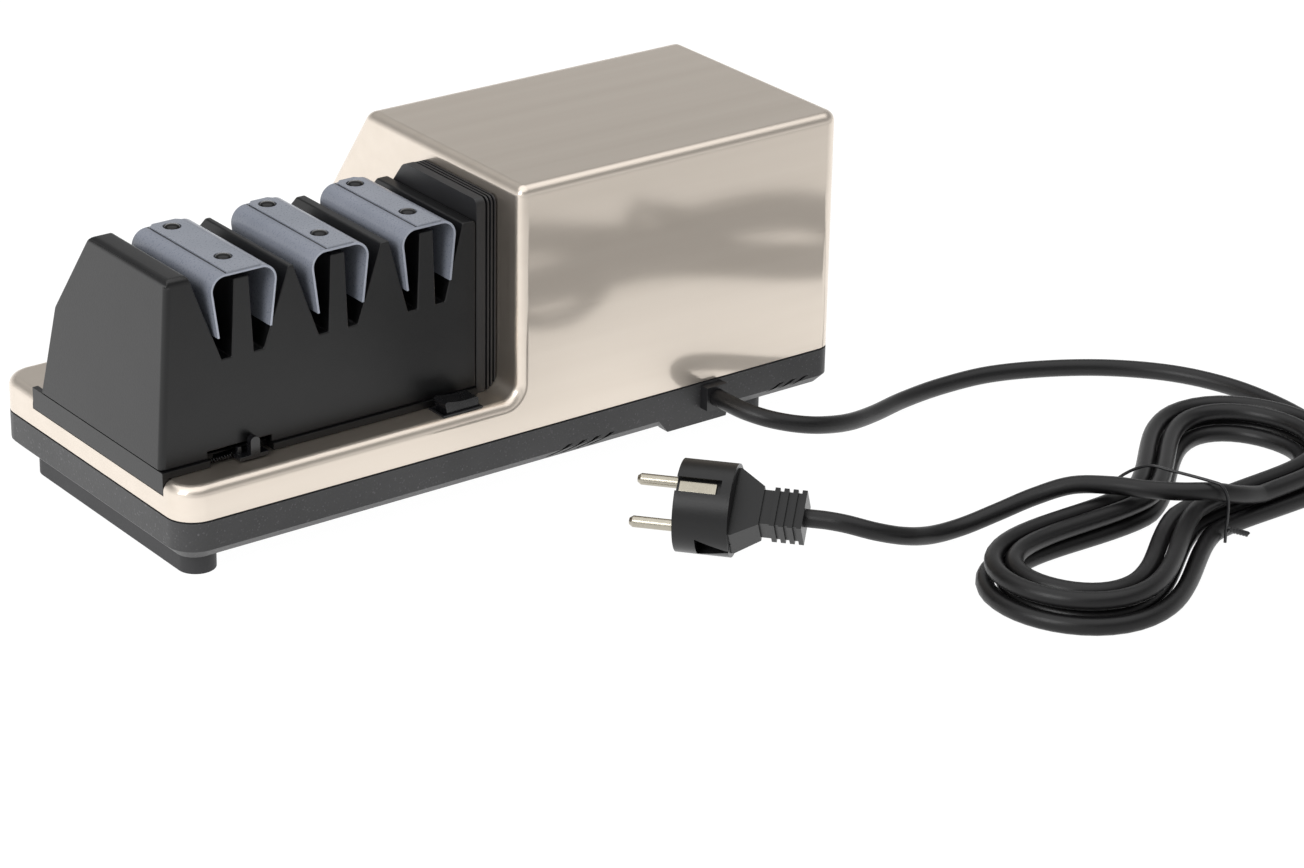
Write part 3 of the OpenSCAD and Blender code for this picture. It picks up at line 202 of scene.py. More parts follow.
# %% The whole cord
lead = smooth(LEAD_POINTS + [hank_in - CORD_D * hank_way(HANK_START), hank_in], 6)
tail = smooth([hank_out, hank_out + CORD_D * hank_way(HANK_END)] + TAIL_POINTS
    + [plug_end - CORD_D * plug_way, plug_end], 6)
route = lead + hank + tail
cord_length = sum((b - a).length for a, b in zip(route, route[1:]))
cord_curve = bpy.data.curves.new("mains_cord", "CURVE")
cord_curve.dimensions = "3D"
cord_curve.bevel_depth = CORD_D / 2 * MM
cord_curve.bevel_resolution = 5
cord_curve.use_fill_caps = True
spline = cord_curve.splines.new("POLY")
spline.points.add(len(route) - 1)
for point, place in zip(spline.points, route):
    point.co = (*(place * MM), 1)
spline.use_smooth = True
mains_cord = bpy.data.objects.new("mains_cord", cord_curve)
bpy.context.collection.objects.link(mains_cord)
print("cord", round(cord_length), "mm long,", len(route), "points")

# %% [markdown]
# Every colour below is written as a hex value, as a paint chart gives it. The screen's numbers
# are not amounts of light, so one function turns them to linear ones, and one small function
# adds a node to a material with its settings and its links.

# %% Colour and nodes
def linear(hex_colour):
    parts = [int(hex_colour[i:i + 2], 16) / 255 for i in (1, 3, 5)]
    return (*[c / 12.92 if c <= 0.04045 else ((c + 0.055) / 1.055) ** 2.4 for c in parts], 1)


def add(tree, kind, settings=None, links=None):
    """Adds a node; settings are inputs or properties, and links are (input, output socket)."""
    node = tree.nodes.new(kind)
    for key, value in (settings or {}).items():
        if isinstance(key, str) and hasattr(node, key):
            setattr(node, key, value)
        else:
            node.inputs[key].default_value = value
    for key, socket in (links or {}).items():
        tree.links.new(socket, node.inputs[key])
    return node


def new_finish(name):
    finish = bpy.data.materials.new(name)
    finish.use_nodes = True
    finish.node_tree.nodes.clear()
    return finish, finish.node_tree

# %% [markdown]
# The cover is steel sheet with a nickel finish, brushed along its length. Brushing leaves fine
# scratches a fraction of a millimetre apart, which stretch highlights across them. An image
# could show them, but noise drawn out along X gives the same lines at any size, so it drives
# the bump and the roughness, and a wider noise gives the soft bands that brushing leaves.

# %% Brushed nickel
brushed_nickel, tree = new_finish("brushed_nickel")
where = add(tree, "ShaderNodeTexCoord")
# Scratches 0.35 mm apart and about 60 mm long, a little coarser than real ones so they show
lines_at = add(tree, "ShaderNodeMapping", {"Scale": (16, 2800, 2800)},
    {"Vector": where.outputs["Object"]})
lines = add(tree, "ShaderNodeTexNoise", {"Scale": 1, "Detail": 3}, {"Vector": lines_at.outputs[0]})
# Bands about 8 mm wide and 300 mm long, as wide as a grit belt's uneven wear
bands_at = add(tree, "ShaderNodeMapping", {"Scale": (3, 120, 120)},
    {"Vector": where.outputs["Object"]})
bands = add(tree, "ShaderNodeTexNoise", {"Scale": 1, "Detail": 2}, {"Vector": bands_at.outputs[0]})
# Nickel is warmer than steel: a pale grey with a touch of yellow
tone = add(tree, "ShaderNodeMix",
    {"data_type": "RGBA", 6: linear("#D0C6BA"), 7: linear("#D9CFC4")}, {0: bands.outputs["Fac"]})
rough = add(tree, "ShaderNodeMapRange",
    {"From Min": 0.3, "From Max": 0.7, "To Min": 0.06, "To Max": 0.12},
    {"Value": lines.outputs["Fac"]})
scratch = add(tree, "ShaderNodeBump", {"Strength": 0.05, "Distance": 0.0001},
    {"Height": lines.outputs["Fac"]})
# Nickel is a metal. Its flats still mirror, near 0.09 rough, and the scratches' flanks spread
# the rest of the light widely, near 0.48 rough, so a little more of them makes a satin brush
flats = add(tree, "ShaderNodeBsdfPrincipled", {"Metallic": 1},
    {"Base Color": tone.outputs[2], "Roughness": rough.outputs[0], "Normal": scratch.outputs[0]})
flanks = add(tree, "ShaderNodeBsdfPrincipled", {"Metallic": 1, "Roughness": 0.48},
    {"Base Color": tone.outputs[2], "Normal": scratch.outputs[0]})
satin = add(tree, "ShaderNodeMixShader", {0: 0.62}, {1: flats.outputs[0], 2: flanks.outputs[0]})
add(tree, "ShaderNodeOutputMaterial", None, {"Surface": satin.outputs[0]})

# %% [markdown]
# Most of the other pieces are moulded, cast or coated. Each has a colour that drifts a little
# over the piece, a grain of its own size, and a roughness that follows the grain. One recipe
# with a few numbers covers them all, so each line below says what the real finish is.

# %% The recipe
DRIFT_SCALE = 45  # patches about 22 mm wide, as in a batch of pellets that mixed unevenly
FLECK_SCALE = 1500  # flecks about 0.7 mm apart


def grained(name, dark, light, roughness, grain_mm, depth_mm, metallic=0, ior=1.5, fleck=None):
    """A moulded, cast or coated surface between two colours, with a grain of its own size."""
    finish, tree = new_finish(name)
    where = add(tree, "ShaderNodeTexCoord")
    at = where.outputs["Object"]
    grain = add(tree, "ShaderNodeTexNoise", {"Scale": 1000 / grain_mm, "Detail": 2}, {"Vector": at})
    drift = add(tree, "ShaderNodeTexNoise", {"Scale": DRIFT_SCALE, "Detail": 3}, {"Vector": at})
    mixed = add(tree, "ShaderNodeMath", {"operation": "MULTIPLY_ADD", 1: 0.5},
        {0: grain.outputs["Fac"], 2: drift.outputs["Fac"]})
    share = add(tree, "ShaderNodeMapRange", {"From Min": 0.45, "From Max": 1.05},
        {"Value": mixed.outputs[0]})
    tone = add(tree, "ShaderNodeMix", {"data_type": "RGBA", 6: linear(dark), 7: linear(light)},
        {0: share.outputs[0]})
    colour = tone.outputs[2]
    if fleck:
        spots = add(tree, "ShaderNodeTexVoronoi", {"Scale": FLECK_SCALE}, {"Vector": at})
        pick = add(tree, "ShaderNodeMapRange", {"From Min": 0.8, "From Max": 1},
            {"Value": spots.outputs["Color"]})
        colour = add(tree, "ShaderNodeMix", {"data_type": "RGBA", 7: linear(fleck)},
            {0: pick.outputs[0], 6: colour}).outputs[2]
    rough = add(tree, "ShaderNodeMapRange",
        {"To Min": roughness - 0.06, "To Max": roughness + 0.08}, {"Value": grain.outputs["Fac"]})
    relief = add(tree, "ShaderNodeBump", {"Strength": 0.5, "Distance": depth_mm * MM},
        {"Height": grain.outputs["Fac"]})
    body = add(tree, "ShaderNodeBsdfPrincipled", {"Metallic": metallic, "IOR": ior},
        {"Base Color": colour, "Roughness": rough.outputs[0], "Normal": relief.outputs[0]})
    add(tree, "ShaderNodeOutputMaterial", None, {"Surface": body.outputs[0]})
    return finish

# %% Plastics and rubbers
finishes = {
    "brushed_nickel": brushed_nickel,
    # Glass-filled plastic with pale flecks: dull, with a coarse moulded grain
    "pan_plastic": grained("flecked_plastic", "#2A2A2B", "#3A3A3B", 0.5, 0.9, 0.12, fleck="#5A595B"),
    # Spark-eroded moulds leave black ABS a fine even grain, half dull. The grain hides part of
    # the shine, so its index is set under the resin's 1.53; the cord's and plug's are, too
    "module_plastic": grained("grained_black_abs", "#0A0A0B", "#121213", 0.34, 0.8, 0.06, ior=1.41),
    # The small black parts come from smoother moulds, and the switch and latch from polished ones
    "black_plastic": grained("smooth_black_abs", "#131315", "#1C1C1E", 0.36, 1.2, 0.02, ior=1.53),
    "black_gloss": grained("polished_black_abs", "#0E0E10", "#161618", 0.24, 1.5, 0.01, ior=1.53),
    # Moulded rubber takes up light: nearly no shine on the feet, a little on the collar
    "collar_rubber": grained("collar_rubber", "#161618", "#202022", 0.48, 0.7, 0.04, ior=1.52),
    "foot_rubber": grained("foot_rubber", "#1C1C1E", "#29292B", 0.62, 0.9, 0.06, ior=1.52),
    # The cord's sleeve is drawn rubber and the plug moulded PVC, both black and half dull
    "cord_rubber": grained("cord_rubber", "#0A0A0B", "#131213", 0.4, 0.6, 0.03, ior=1.39),
    "plug_rubber": grained("plug_pvc", "#080809", "#101011", 0.36, 0.5, 0.03, ior=1.39),
    # PVC sleeves on thin wires are glossier, and the wires inside are blue to tell them apart
    "tie_plastic": grained("tie_pvc", "#0F0F11", "#19191B", 0.32, 0.8, 0.01),
    "wire_plastic": grained("wire_pvc", "#24508F", "#3664AC", 0.4, 0.8, 0.02),
    # Undyed nylon is a warm off-white
    "pale_plastic": grained("pale_nylon", "#D2D0C8", "#E2E0D9", 0.45, 0.9, 0.02),
}
print(len(finishes), "finishes of sheet, plastic and rubber")

# %% Enamels and metals
finishes.update({
    # Spring steel with baked enamel: smooth, slate blue, a soft gloss, paler where it is cut
    "guide_steel": grained("slate_enamel", "#7A7F8A", "#878B96", 0.28, 0.8, 0.02, ior=1.5),
    "strip_steel": grained("slate_enamel_strip", "#80858F", "#8E929C", 0.28, 0.8, 0.02, ior=1.5),
    "bare_edge": grained("cut_enamel_edge", "#9AA0AC", "#B4B9C4", 0.3, 0.6, 0.02, metallic=0.4),
    # Blackened steel has an oxide skin over the metal, so it is half a metal and quite shiny
    "black_screw": grained("blackened_steel", "#0B0B0C", "#141415", 0.14, 0.6, 0.01, metallic=0.5),
    # Zinc plate is blue-white and soft; a die casting's skin is greyer and duller
    "zinc": grained("zinc_plate", "#A4A8AE", "#BEC1C6", 0.32, 0.7, 0.01, metallic=1),
    "cast_zinc": grained("cast_zinc", "#84878C", "#9A9DA2", 0.5, 0.8, 0.06, metallic=1),
    # The motor's core is stamped sheets 0.5 mm thick, which show as a grain of that size
    "lamination": grained("stacked_steel", "#5E6064", "#76787C", 0.48, 0.5, 0.03, metallic=1),
    # Copper under a clear brown varnish, wound 0.6 mm thick
    "copper_wire": grained("enamelled_copper", "#9C5A2A", "#BD7740", 0.35, 0.6, 0.15, metallic=0.9),
    # Sintered bronze is porous, so it shines softly, and ground steel is bright
    "bronze": grained("sintered_bronze", "#966833", "#B58346", 0.45, 0.4, 0.03, metallic=1),
    "bright_steel": grained("ground_steel", "#B9BCC0", "#D2D4D7", 0.22, 0.5, 0.01, metallic=1),
    # The plug's pins are plated brass, coloured a darker, greyer tone than fresh plate
    "bright_nickel": grained("nickel_plate", "#8F8A7E", "#A9A498", 0.24, 0.6, 0.01, metallic=1),
    # Diamond grit held in nickel glitters; real grit is finer, and 0.25 mm lets it show
    "abrasive": grained("diamond_grit", "#7E8083", "#AEB0B3", 0.6, 0.25, 0.08, metallic=0.5),
})
print(len(finishes), "finishes in all")

# %% Every solid gets its finish
for part in frame["record"]["subparts"]:
    node = nodes[part["node"]]
    node.data.materials.clear()
    node.data.materials.append(finishes[part["material_slot"]])
mains_cord.data.materials.append(finishes["cord_rubber"])

# %% [markdown]
# The cover is one pressed sheet: a low deck at one end, and a tall box at the other whose far
# top edge is cut back at a slant. It could be cut from blocks, but the real one was folded, so
# its side outline is drawn once, drawn out to the full width, cut by the slant, and given its
# round edges, the wide corners first.

# %% The cover's measures, in mm
LEFT, RIGHT = -160, 160
NEAR, FAR = -72.5, 72.5
# Where the box starts, the deck's height, the cover's lower rim and the box's top
BOX_X, DECK_Z = -3, 42
COVER_Z, TOP_Z = 27.8, 132.5
# The slant runs from this height on the far side to this place on the top
SLANT_Z, SLANT_Y = 85.3, 38.8
SHEET = 1.2
# Rounds: in the corner between deck and box, at the deck's and the box's corners, and on the rims
STEP_R, DECK_CORNER_R, BOX_CORNER_R, RIM_R = 6.5, 12, 7.5, 4.4

# %% Helpers for new pieces
def piece_from(mesh, name, slot, body, *replaced):
    """Makes a finished mesh an object of the scene that rides on a body."""
    for polygon in mesh.polygons:
        polygon.use_smooth = True
    piece = bpy.data.objects.new(name, mesh)
    bpy.context.collection.objects.link(piece)
    piece.data.materials.append(finishes[slot])
    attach(piece, body)
    if replaced:
        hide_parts(*replaced)
    return piece


def bevel(mesh, edges, offset, segments, clamp=True):
    """Rounds edges of an open mesh to a radius in mm."""
    bmesh.ops.bevel(mesh, geom=edges, offset=offset * MM, offset_type="OFFSET", affect="EDGES",
        segments=segments, profile=0.5, material=-1, clamp_overlap=clamp)


def is_at(edge, axis, value):
    """Whether both ends of an edge lie at a value in mm along an axis."""
    return all(abs(v.co[axis] - value * MM) < 1e-6 for v in edge.verts)

# %% The cover's shell
shell = bmesh.new()
outline = [(LEFT, COVER_Z), (RIGHT, COVER_Z), (RIGHT, TOP_Z), (BOX_X, TOP_Z), (BOX_X, DECK_Z),
    (LEFT, DECK_Z)]
corners = [shell.verts.new((x * MM, NEAR * MM, z * MM)) for x, z in outline]
drawn = bmesh.ops.extrude_face_region(shell, geom=[shell.faces.new(corners)])["geom"]
bmesh.ops.translate(shell, vec=(0, (FAR - NEAR) * MM, 0),
    verts=[v for v in drawn if isinstance(v, bmesh.types.BMVert)])
bmesh.ops.recalc_face_normals(shell, faces=shell.faces)
slant = Vector((0, TOP_Z - SLANT_Z, FAR - SLANT_Y)).normalized()
cut = bmesh.ops.bisect_plane(shell, geom=shell.verts[:] + shell.edges[:] + shell.faces[:],
    plane_co=(0, FAR * MM, SLANT_Z * MM), plane_no=slant, clear_outer=True)
bmesh.ops.holes_fill(shell, edges=[e for e in cut["geom_cut"] if isinstance(e, bmesh.types.BMEdge)])
bmesh.ops.recalc_face_normals(shell, faces=shell.faces)
print("blank with", len(shell.faces), "faces")

# %% Its round edges
bevel(shell, [e for e in shell.edges if is_at(e, 0, BOX_X) and is_at(e, 2, DECK_Z)], STEP_R, 8)
upright = [e for e in shell.edges if abs(e.verts[0].co.z - e.verts[1].co.z) > 0.01
    and abs(e.verts[0].co.y - e.verts[1].co.y) < 1e-6]
bevel(shell, [e for e in upright if is_at(e, 0, LEFT)], DECK_CORNER_R, 12)
bevel(shell, [e for e in upright if e.is_valid and is_at(e, 0, RIGHT)], BOX_CORNER_R, 10)
# The rims are every fold left that stands above the deck's lower side
rim = [e for e in shell.edges if not is_at(e, 2, COVER_Z) and e.calc_face_angle(0) > radians(25)
    and max(v.co.z for v in e.verts) > (DECK_Z - 1) * MM]
bevel(shell, rim, RIM_R, 8)
underside = [f for f in shell.faces if f.normal.z < -0.99
    and f.calc_center_median().z < (COVER_Z + 0.2) * MM]
bmesh.ops.delete(shell, geom=underside, context="FACES")
print("shell with", len(shell.faces), "faces")

# %% Its thickness
shell_mesh = bpy.data.meshes.new("cover_shell")
shell.to_mesh(shell_mesh)
shell.free()
cover_shell = piece_from(shell_mesh, "cover_shell", "brushed_nickel", "housing", "cover")
thickness = cover_shell.modifiers.new("sheet", "SOLIDIFY")
thickness.thickness = SHEET * MM
thickness.offset = -1

# %% [markdown]
# Three openings are punched in the sheet: a notch that the module's apron hangs in, a hole for
# the switch, and one for the drive. The outline could be drawn with them, but they cross its
# round edges, so a block and a disc are cut away from the finished shell.

# %% The punches
# Least and greatest X, Y and Z of the apron's notch and of the switch's hole
NOTCH = (-164, -156.1, -58.4, 43.8, 35.6, 56)
SWITCH_HOLE = (-37.45, -19.35, -69.45, -59.35, 37, 47)
DRIVE_AT = Vector((-10.5, -15, 74))
DRIVE_R = 15
punch = bmesh.new()
for x0, x1, y0, y1, z0, z1 in (NOTCH, SWITCH_HOLE):
    middle = Matrix.Translation(((x0 + x1) / 2 * MM, (y0 + y1) / 2 * MM, (z0 + z1) / 2 * MM))
    size = Matrix.Diagonal(((x1 - x0) * MM, (y1 - y0) * MM, (z1 - z0) * MM, 1))
    bmesh.ops.create_cube(punch, size=1, matrix=middle @ size)
bmesh.ops.create_cone(punch, cap_ends=True, segments=48, radius1=DRIVE_R * MM, radius2=DRIVE_R * MM,
    depth=25 * MM, matrix=Matrix.Translation(DRIVE_AT * MM) @ Matrix.Rotation(radians(90), 4, "Y"))
punch_mesh = bpy.data.meshes.new("punch")
punch.to_mesh(punch_mesh)
punch.free()
punch_block = bpy.data.objects.new("punch", punch_mesh)
bpy.context.collection.objects.link(punch_block)
print("punches with", len(punch_mesh.polygons), "faces")

# %% Openings punched in the sheet
punching = cover_shell.modifiers.new("punched", "BOOLEAN")
punching.operation = "DIFFERENCE"
punching.solver = "EXACT"
punching.object = punch_block
bpy.context.view_layer.update()
depsgraph = bpy.context.evaluated_depsgraph_get()
punched = bpy.data.meshes.new_from_object(cover_shell.evaluated_get(depsgraph))
punched.name = "cover_punched"
cover_shell.modifiers.clear()
cover_shell.data = punched
bpy.data.objects.remove(punch_block)
punched.set_sharp_from_angle(angle=radians(40))
even = cover_shell.modifiers.new("flats", "WEIGHTED_NORMAL")
even.keep_sharp = True
print("punched cover with", len(punched.polygons), "faces")

# %% [markdown]
# The module, the pan and the small fittings come from moulds, and no mould makes a knife-sharp
# edge. Their solids have the right forms, so each is copied, its loose triangles are joined
# again, and a bevel of a fraction of a millimetre catches the light along the edges. Weighted
# normals keep the large faces flat while the narrow ones turn.

# %% A merged copy with fine edges
WIDE_EDGE = 2.6
# Two faces that meet at more than this are an edge, and less is one curved face
SHARP = radians(33)


def dressed(node, edge_mm, wide=None):
    """Stands for a node with a merged copy of it whose sharp edges are rounded.

    wide picks the edges that get a wide round first."""
    copy = bmesh.new()
    copy.from_mesh(nodes[node].data)
    bmesh.ops.remove_doubles(copy, verts=copy.verts, dist=2e-6)
    bmesh.ops.dissolve_limit(copy, angle_limit=radians(0.5), verts=copy.verts, edges=copy.edges)
    if wide:
        rounded = [e for e in copy.edges if e.calc_face_angle(0) > SHARP and wide(e)]
        print("wide rounds on", len(rounded), "edges")
        bevel(copy, rounded, WIDE_EDGE, 5, clamp=False)
    mesh = bpy.data.meshes.new(node + "_dressed")
    copy.to_mesh(mesh)
    copy.free()
    body = body_of(nodes[node])[0]
    slot = next(p["material_slot"] for p in frame["record"]["subparts"] if p["node"] == node)
    piece = piece_from(mesh, node + "_dressed", slot, body, node)
    edge = piece.modifiers.new("edges", "BEVEL")
    edge.width = edge_mm * MM
    edge.segments = 2
    edge.limit_method = "ANGLE"
    edge.angle_limit = SHARP
    edge.use_clamp_overlap = wide is None
    flat = piece.modifiers.new("flats", "WEIGHTED_NORMAL")
    flat.keep_sharp = False
    print(node, "has", len(mesh.polygons), "faces")

# %% The moulded and bent pieces
# Edge radius in mm, by piece
EDGES = {"base_pan": 0.5, "module_base": 0.4, "module_seal": 0.9, "guide_1": 0.15, "guide_2": 0.15,
    "guide_3": 0.15, "guide_strips": 0.2, "guide_screws": 0.3, "switch_body": 0.3,
    "switch_rocker": 0.5, "cord_gland": 0.6, "latch_button": 0.4, "foot_bar": 0.8, "rear_feet": 0.5,
    "plug_body": 0.6, "plug_pins": 0.3, "plug_earth_clips": 0.3}
for node, edge_mm in EDGES.items():
    dressed(node, edge_mm)

# %% [markdown]
# The module's end wall meets its near face in a wider round than the rest, as a mould's main
# split does, so those edges alone get 2.6 mm. The ridges between the stages get 0.6 mm.

# %% The module's case
CASE_NEAR, END_WALL_X, CASE_FOOT_Z = -56.7, -149, 44


def on_end_wall(edge):
    """Whether an edge lies in the near face, and past the last slot."""
    a, b = (v.co / MM for v in edge.verts)
    off_near_face = abs(a.y - CASE_NEAR) + abs(b.y - CASE_NEAR)
    return max(a.x, b.x) < END_WALL_X and min(a.z, b.z) > CASE_FOOT_Z and off_near_face < 0.1


dressed("module_case", 0.6, on_end_wall)

# %% [markdown]
# Each guide is enamelled sheet, cut after it was coated, so the thickness of the sheet shows
# paler at its near end. The raised strip is a second sheet, and beside it, on the side that faces
# the module's end, a thin black block is laid as painted shade for the gap between the two
# sheets. Both lines are what makes the guides read as sheet.

# %% Cut edges of the guides, and painted shade in their gaps
GUIDE_NEAR, GUIDE_L, GUIDE_TOP = -58.6, 59.4, 120.8
# Middle of each guide along X, and half the width of its strip
GUIDES = {"guide_1": (-121.9, 7.3), "guide_2": (-78.3, 5.8), "guide_3": (-37, 5.5)}
# Width and height of the black block that is painted shade for each gap
GAP_SHADE_W, GAP_SHADE_H = 0.5, 0.16
gap_shades = bmesh.new()
for node, (middle, strip_half) in GUIDES.items():
    mesh = bpy.data.objects[node + "_dressed"].data
    mesh.materials.append(finishes["bare_edge"])
    for polygon in mesh.polygons:
        if polygon.normal.y < -0.9:
            polygon.material_index = 1
    # A thin black block beside each raised strip, as painted shade for the gap between the sheets
    place = Vector((middle - strip_half - GAP_SHADE_W / 2, GUIDE_NEAR + GUIDE_L / 2, GUIDE_TOP)) * MM
    size = Matrix.Diagonal((GAP_SHADE_W * MM, (GUIDE_L - 1) * MM, GAP_SHADE_H * MM, 1))
    bmesh.ops.create_cube(gap_shades, size=1, matrix=Matrix.Translation(place) @ size)
gap_shade_mesh = bpy.data.meshes.new("guide_gap_shades")
gap_shades.to_mesh(gap_shade_mesh)
gap_shades.free()
piece_from(gap_shade_mesh, "guide_gap_shades", "black_plastic", "module")
print("seams on", len(gap_shade_mesh.polygons) // 6, "guides")

# %% [markdown]
# A small wound spring pushes the latch home. Its solid is a plain rod that can't shorten, so the
# pulled latch would run into it. A ring of wire spun along its own axis winds a true spring, and
# one end of it follows the module while the other follows the latch, so that it closes up.

# %% The rod that the spring takes the place of
rod = [Vector(corner) for corner in nodes["latch_spring"].bound_box]
rod_start, rod_end = min(rod, key=lambda c: c.x), max(rod, key=lambda c: c.x)
low, high = (pick(c.z for c in rod) for pick in (min, max))
near, far = (pick(c.y for c in rod) for pick in (min, max))
axis_at = Vector((rod_start.x, (near + far) / 2, (low + high) / 2))
print("rod", round((rod_end.x - rod_start.x) / MM, 1), "mm long")

# %% The latch's spring
SPRING_TURNS, TURN_STEPS = 9, 14
WIRE_R = 0.2 * MM
coil_r = (high - low) / 2 - WIRE_R
coil_l = rod_end.x - rod_start.x - 2 * WIRE_R
ring_at = Matrix.Translation(axis_at + Vector((WIRE_R, 0, coil_r)))
coil = bmesh.new()
bmesh.ops.create_circle(coil, segments=8, radius=WIRE_R,
    matrix=ring_at @ Matrix.Rotation(radians(90), 4, "X"))
bmesh.ops.spin(coil, geom=coil.verts[:] + coil.edges[:], cent=axis_at, axis=(1, 0, 0),
    dvec=(coil_l / (SPRING_TURNS * TURN_STEPS), 0, 0), angle=radians(360 * SPRING_TURNS),
    steps=SPRING_TURNS * TURN_STEPS)
bmesh.ops.holes_fill(coil, edges=coil.edges, sides=8)
bmesh.ops.recalc_face_normals(coil, faces=coil.faces)
coil_mesh = bpy.data.meshes.new("latch_spring_wound")
coil.to_mesh(coil_mesh)
coil.free()
for polygon in coil_mesh.polygons:
    polygon.use_smooth = True
coil_mesh.materials.append(finishes["black_screw"])
spring = bpy.data.objects.new("latch_spring_wound", coil_mesh)
bpy.context.collection.objects.link(spring)
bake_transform(spring, "module", "latch", rod_start, rod_end)
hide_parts("latch_spring")
print("spring", round(coil_l / MM, 1), "mm long with", len(coil_mesh.polygons), "faces")

# %% [markdown]
# A floor and a sky make the white room. White paper under strong lamps is brighter than a
# screen can show, and it darkens away from the lamps, which is what the steel's side mirrors.
# So the floor is white to the camera, fades with its distance from the body in mirrored
# light, and is plain paint for the rest, so that it still takes a soft shadow.

# %% The white floor
floor_finish, tree = new_finish("white_paper")
ray = add(tree, "ShaderNodeLightPath")
where = add(tree, "ShaderNodeTexCoord")
split = add(tree, "ShaderNodeSeparateXYZ", None, {0: where.outputs["Object"]})
# From 0.14 m before the body's middle, as bright as lit paper gets, to 0.45 m, in half shade
fade = add(tree, "ShaderNodeMapRange",
    {"From Min": -0.45, "From Max": -0.14, "To Min": 0.78, "To Max": 1.62},
    {"Value": split.outputs["Y"]})
paint = add(tree, "ShaderNodeBsdfDiffuse", {"Color": (0.8, 0.8, 0.8, 1)})
glow = add(tree, "ShaderNodeEmission", {"Color": (1, 1, 1, 1), "Strength": 1.12})
shine = add(tree, "ShaderNodeEmission", {"Color": (1, 1, 1, 1)}, {"Strength": fade.outputs[0]})
# What is left of the paint, about an eighth, still takes the shadow
share = add(tree, "ShaderNodeMath", {"operation": "MULTIPLY", 1: 0.88},
    {0: ray.outputs["Is Camera Ray"]})
seen = add(tree, "ShaderNodeMixShader", None,
    {0: share.outputs[0], 1: paint.outputs[0], 2: glow.outputs[0]})
mirrored = add(tree, "ShaderNodeMath", {"operation": "MULTIPLY", 1: 0.85},
    {0: ray.outputs["Is Glossy Ray"]})
both = add(tree, "ShaderNodeMixShader", None,
    {0: mirrored.outputs[0], 1: seen.outputs[0], 2: shine.outputs[0]})
add(tree, "ShaderNodeOutputMaterial", None, {"Surface": both.outputs[0]})

# %% Its sheet, 24 m across so that its rim is past the horizon of the picture
floor_plan = bmesh.new()
bmesh.ops.create_grid(floor_plan, x_segments=1, y_segments=1, size=12)
floor_mesh = bpy.data.meshes.new("floor")
floor_plan.to_mesh(floor_mesh)
floor_plan.free()
floor_mesh.materials.append(floor_finish)
floor = bpy.data.objects.new("floor", floor_mesh)
bpy.context.collection.objects.link(floor)
print("floor", round(floor.dimensions.x), "m across")

# %% [markdown]
# The sky is white to the camera. Mirrored in the steel it is bright low down and greyer above,
# as a tent over a table is, and its plain light is kept low so that the blacks stay black.

# %% The sky
sky = bpy.data.worlds.new("studio")
bpy.context.scene.world = sky
sky.use_nodes = True
tree = sky.node_tree
tree.nodes.clear()
ray = add(tree, "ShaderNodeLightPath")
toward = add(tree, "ShaderNodeTexCoord")
height = add(tree, "ShaderNodeSeparateXYZ", None, {0: toward.outputs["Generated"]})
dome = add(tree, "ShaderNodeMapRange", {"interpolation_type": "SMOOTHSTEP",
    "From Min": 0.05, "From Max": 0.5, "To Min": 1.04, "To Max": 0.28}, {"Value": height.outputs["Z"]})
# A soft box hangs overhead, which is what draws a bright line along every rounded top edge
overhead = add(tree, "ShaderNodeMapRange", {"interpolation_type": "SMOOTHSTEP",
    "From Min": 0.62, "From Max": 0.86, "To Min": 0.0, "To Max": 1.5}, {"Value": height.outputs["Z"]})
room = add(tree, "ShaderNodeMath", {"operation": "ADD"}, {0: dome.outputs[0], 1: overhead.outputs[0]})
paper = add(tree, "ShaderNodeBackground", {"Color": (1, 1, 1, 1), "Strength": 1})
mirror_sky = add(tree, "ShaderNodeBackground", {"Color": (1, 1, 1, 1)},
    {"Strength": room.outputs[0]})
light_sky = add(tree, "ShaderNodeBackground", {"Color": (1, 1, 1, 1), "Strength": 0.42})
lit = add(tree, "ShaderNodeMixShader", None,
    {0: ray.outputs["Is Glossy Ray"], 1: light_sky.outputs[0], 2: mirror_sky.outputs[0]})
whole = add(tree, "ShaderNodeMixShader", None,
    {0: ray.outputs["Is Camera Ray"], 1: lit.outputs[0], 2: paper.outputs[0]})
add(tree, "ShaderNodeOutputWorld", None, {"Surface": whole.outputs[0]})

# %% [markdown]
# Two soft lamps model the forms. The key stands at the module's end, and draws the light edges
# of the black plastic. The back lamp lights the tops from over the far side. A steel side would
# show it as a square patch, so it isn't mirrored.

# %% The lamps
# Place in m, side in m, power in W, and whether it is mirrored
LAMPS = {"key": ((-2.3, -0.7, 1.5), 1.4, 46, True), "back": ((0.6, 1.6, 2.2), 1.6, 30, False)}
LIT_AT = Vector((0.05, -0.05, 0.05))
for name, (at, size, power, is_mirrored) in LAMPS.items():
    lamp = bpy.data.lights.new(name, "AREA")
    lamp.energy = power
    lamp.size = size
    stand = bpy.data.objects.new(name, lamp)
    bpy.context.collection.objects.link(stand)
    aim = LIT_AT - Vector(at)
    stand.matrix_world = Matrix.Translation(at) @ aim.to_track_quat("-Z", "Y").to_matrix().to_4x4()
    stand.visible_glossy = is_mirrored
bpy.context.scene.view_settings.view_transform = "Standard"
print(len(LAMPS), "lamps")

# %% [markdown]
# The tie is a wire in a thin black sleeve, put over the waist of the hank, with its two ends
# twisted together low down beside it. A ready-made ring could stand in, but the real one is
# pulled tight, so it follows the outline of the strands, and the twist is a pair of helices.

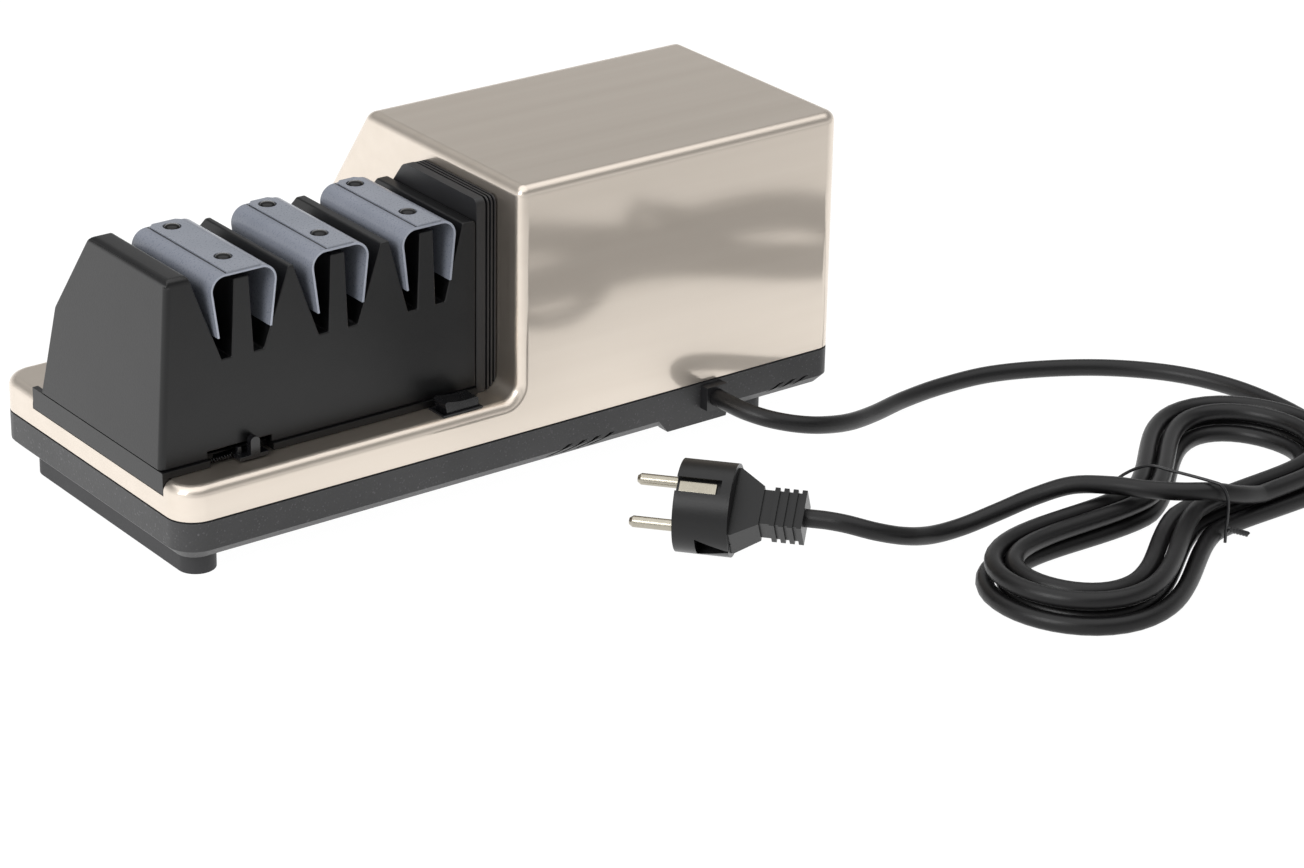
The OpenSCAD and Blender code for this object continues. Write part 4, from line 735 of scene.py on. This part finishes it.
# %% A round wire along a path
def wire(name, paths, thickness, slot, body, *replaced):
    """One curve object of round wires along the paths, made a mesh with its place applied."""
    curve = bpy.data.curves.new(name, "CURVE")
    curve.dimensions = "3D"
    curve.bevel_depth = thickness / 2 * MM
    curve.bevel_resolution = 3
    curve.use_fill_caps = True
    for path in paths:
        line = curve.splines.new("POLY")
        line.points.add(len(path) - 1)
        for point, place in zip(line.points, path):
            point.co = (*(Vector(place) * MM), 1)
    made = bpy.data.objects.new(name + "_curve", curve)
    mesh = bpy.data.meshes.new_from_object(made)
    mesh.name = name
    bpy.data.objects.remove(made)
    return piece_from(mesh, name, slot, body, *replaced)


def at_waist(across, z, along=0):
    """A place beside the hank's waist, across and along it."""
    return Vector((HANK_CENTRE.x + along * cos(HANK_TURN) - across * sin(HANK_TURN),
        HANK_CENTRE.y + along * sin(HANK_TURN) + across * cos(HANK_TURN), z))

# %% The wire tie
TIE_HALF = 25.6
TIE_TOP = 25.6
TIE_D, TWIST_R = 1.3, 0.7
# Across the waist and up: one side, over the top, and down to the lower strands
corners = [(-TIE_HALF, 6), (-TIE_HALF, TIE_TOP - 7), (-TIE_HALF + 3, TIE_TOP - 1),
    (-TIE_HALF + 8, TIE_TOP), (0, TIE_TOP), (TIE_HALF - 15, TIE_TOP - 0.6),
    (TIE_HALF - 5, TIE_TOP - 7), (TIE_HALF, TIE_TOP - 14), (TIE_HALF, 1)]
arch = smooth([at_waist(a, z) for a, z in [(-TIE_HALF, 1)] + corners], 4)


def twisted_end(start_angle):
    """One of the two wire ends, which turn round each other as they leave the hank.

    Each step turns 0.8 radians, and goes 0.22 mm out, 0.12 mm down and 0.25 mm along."""
    path = []
    for k in range(28):
        angle = k * 0.8 + start_angle
        across = -TIE_HALF - 0.5 - k * 0.22 + TWIST_R * cos(angle)
        path.append(at_waist(across, 7 - k * 0.12 + TWIST_R * sin(angle), k * 0.25))
    return path


wire_tie = wire("wire_tie", [arch, twisted_end(0), twisted_end(pi)], TIE_D, "tie_plastic", "housing",
    "cord_tie")
print("tie has", len(wire_tie.data.polygons), "faces")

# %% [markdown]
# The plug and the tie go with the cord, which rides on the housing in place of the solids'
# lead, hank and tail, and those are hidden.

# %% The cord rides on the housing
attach(mains_cord, "housing")
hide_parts("cord_lead", "cord_hank", "cord_tail")
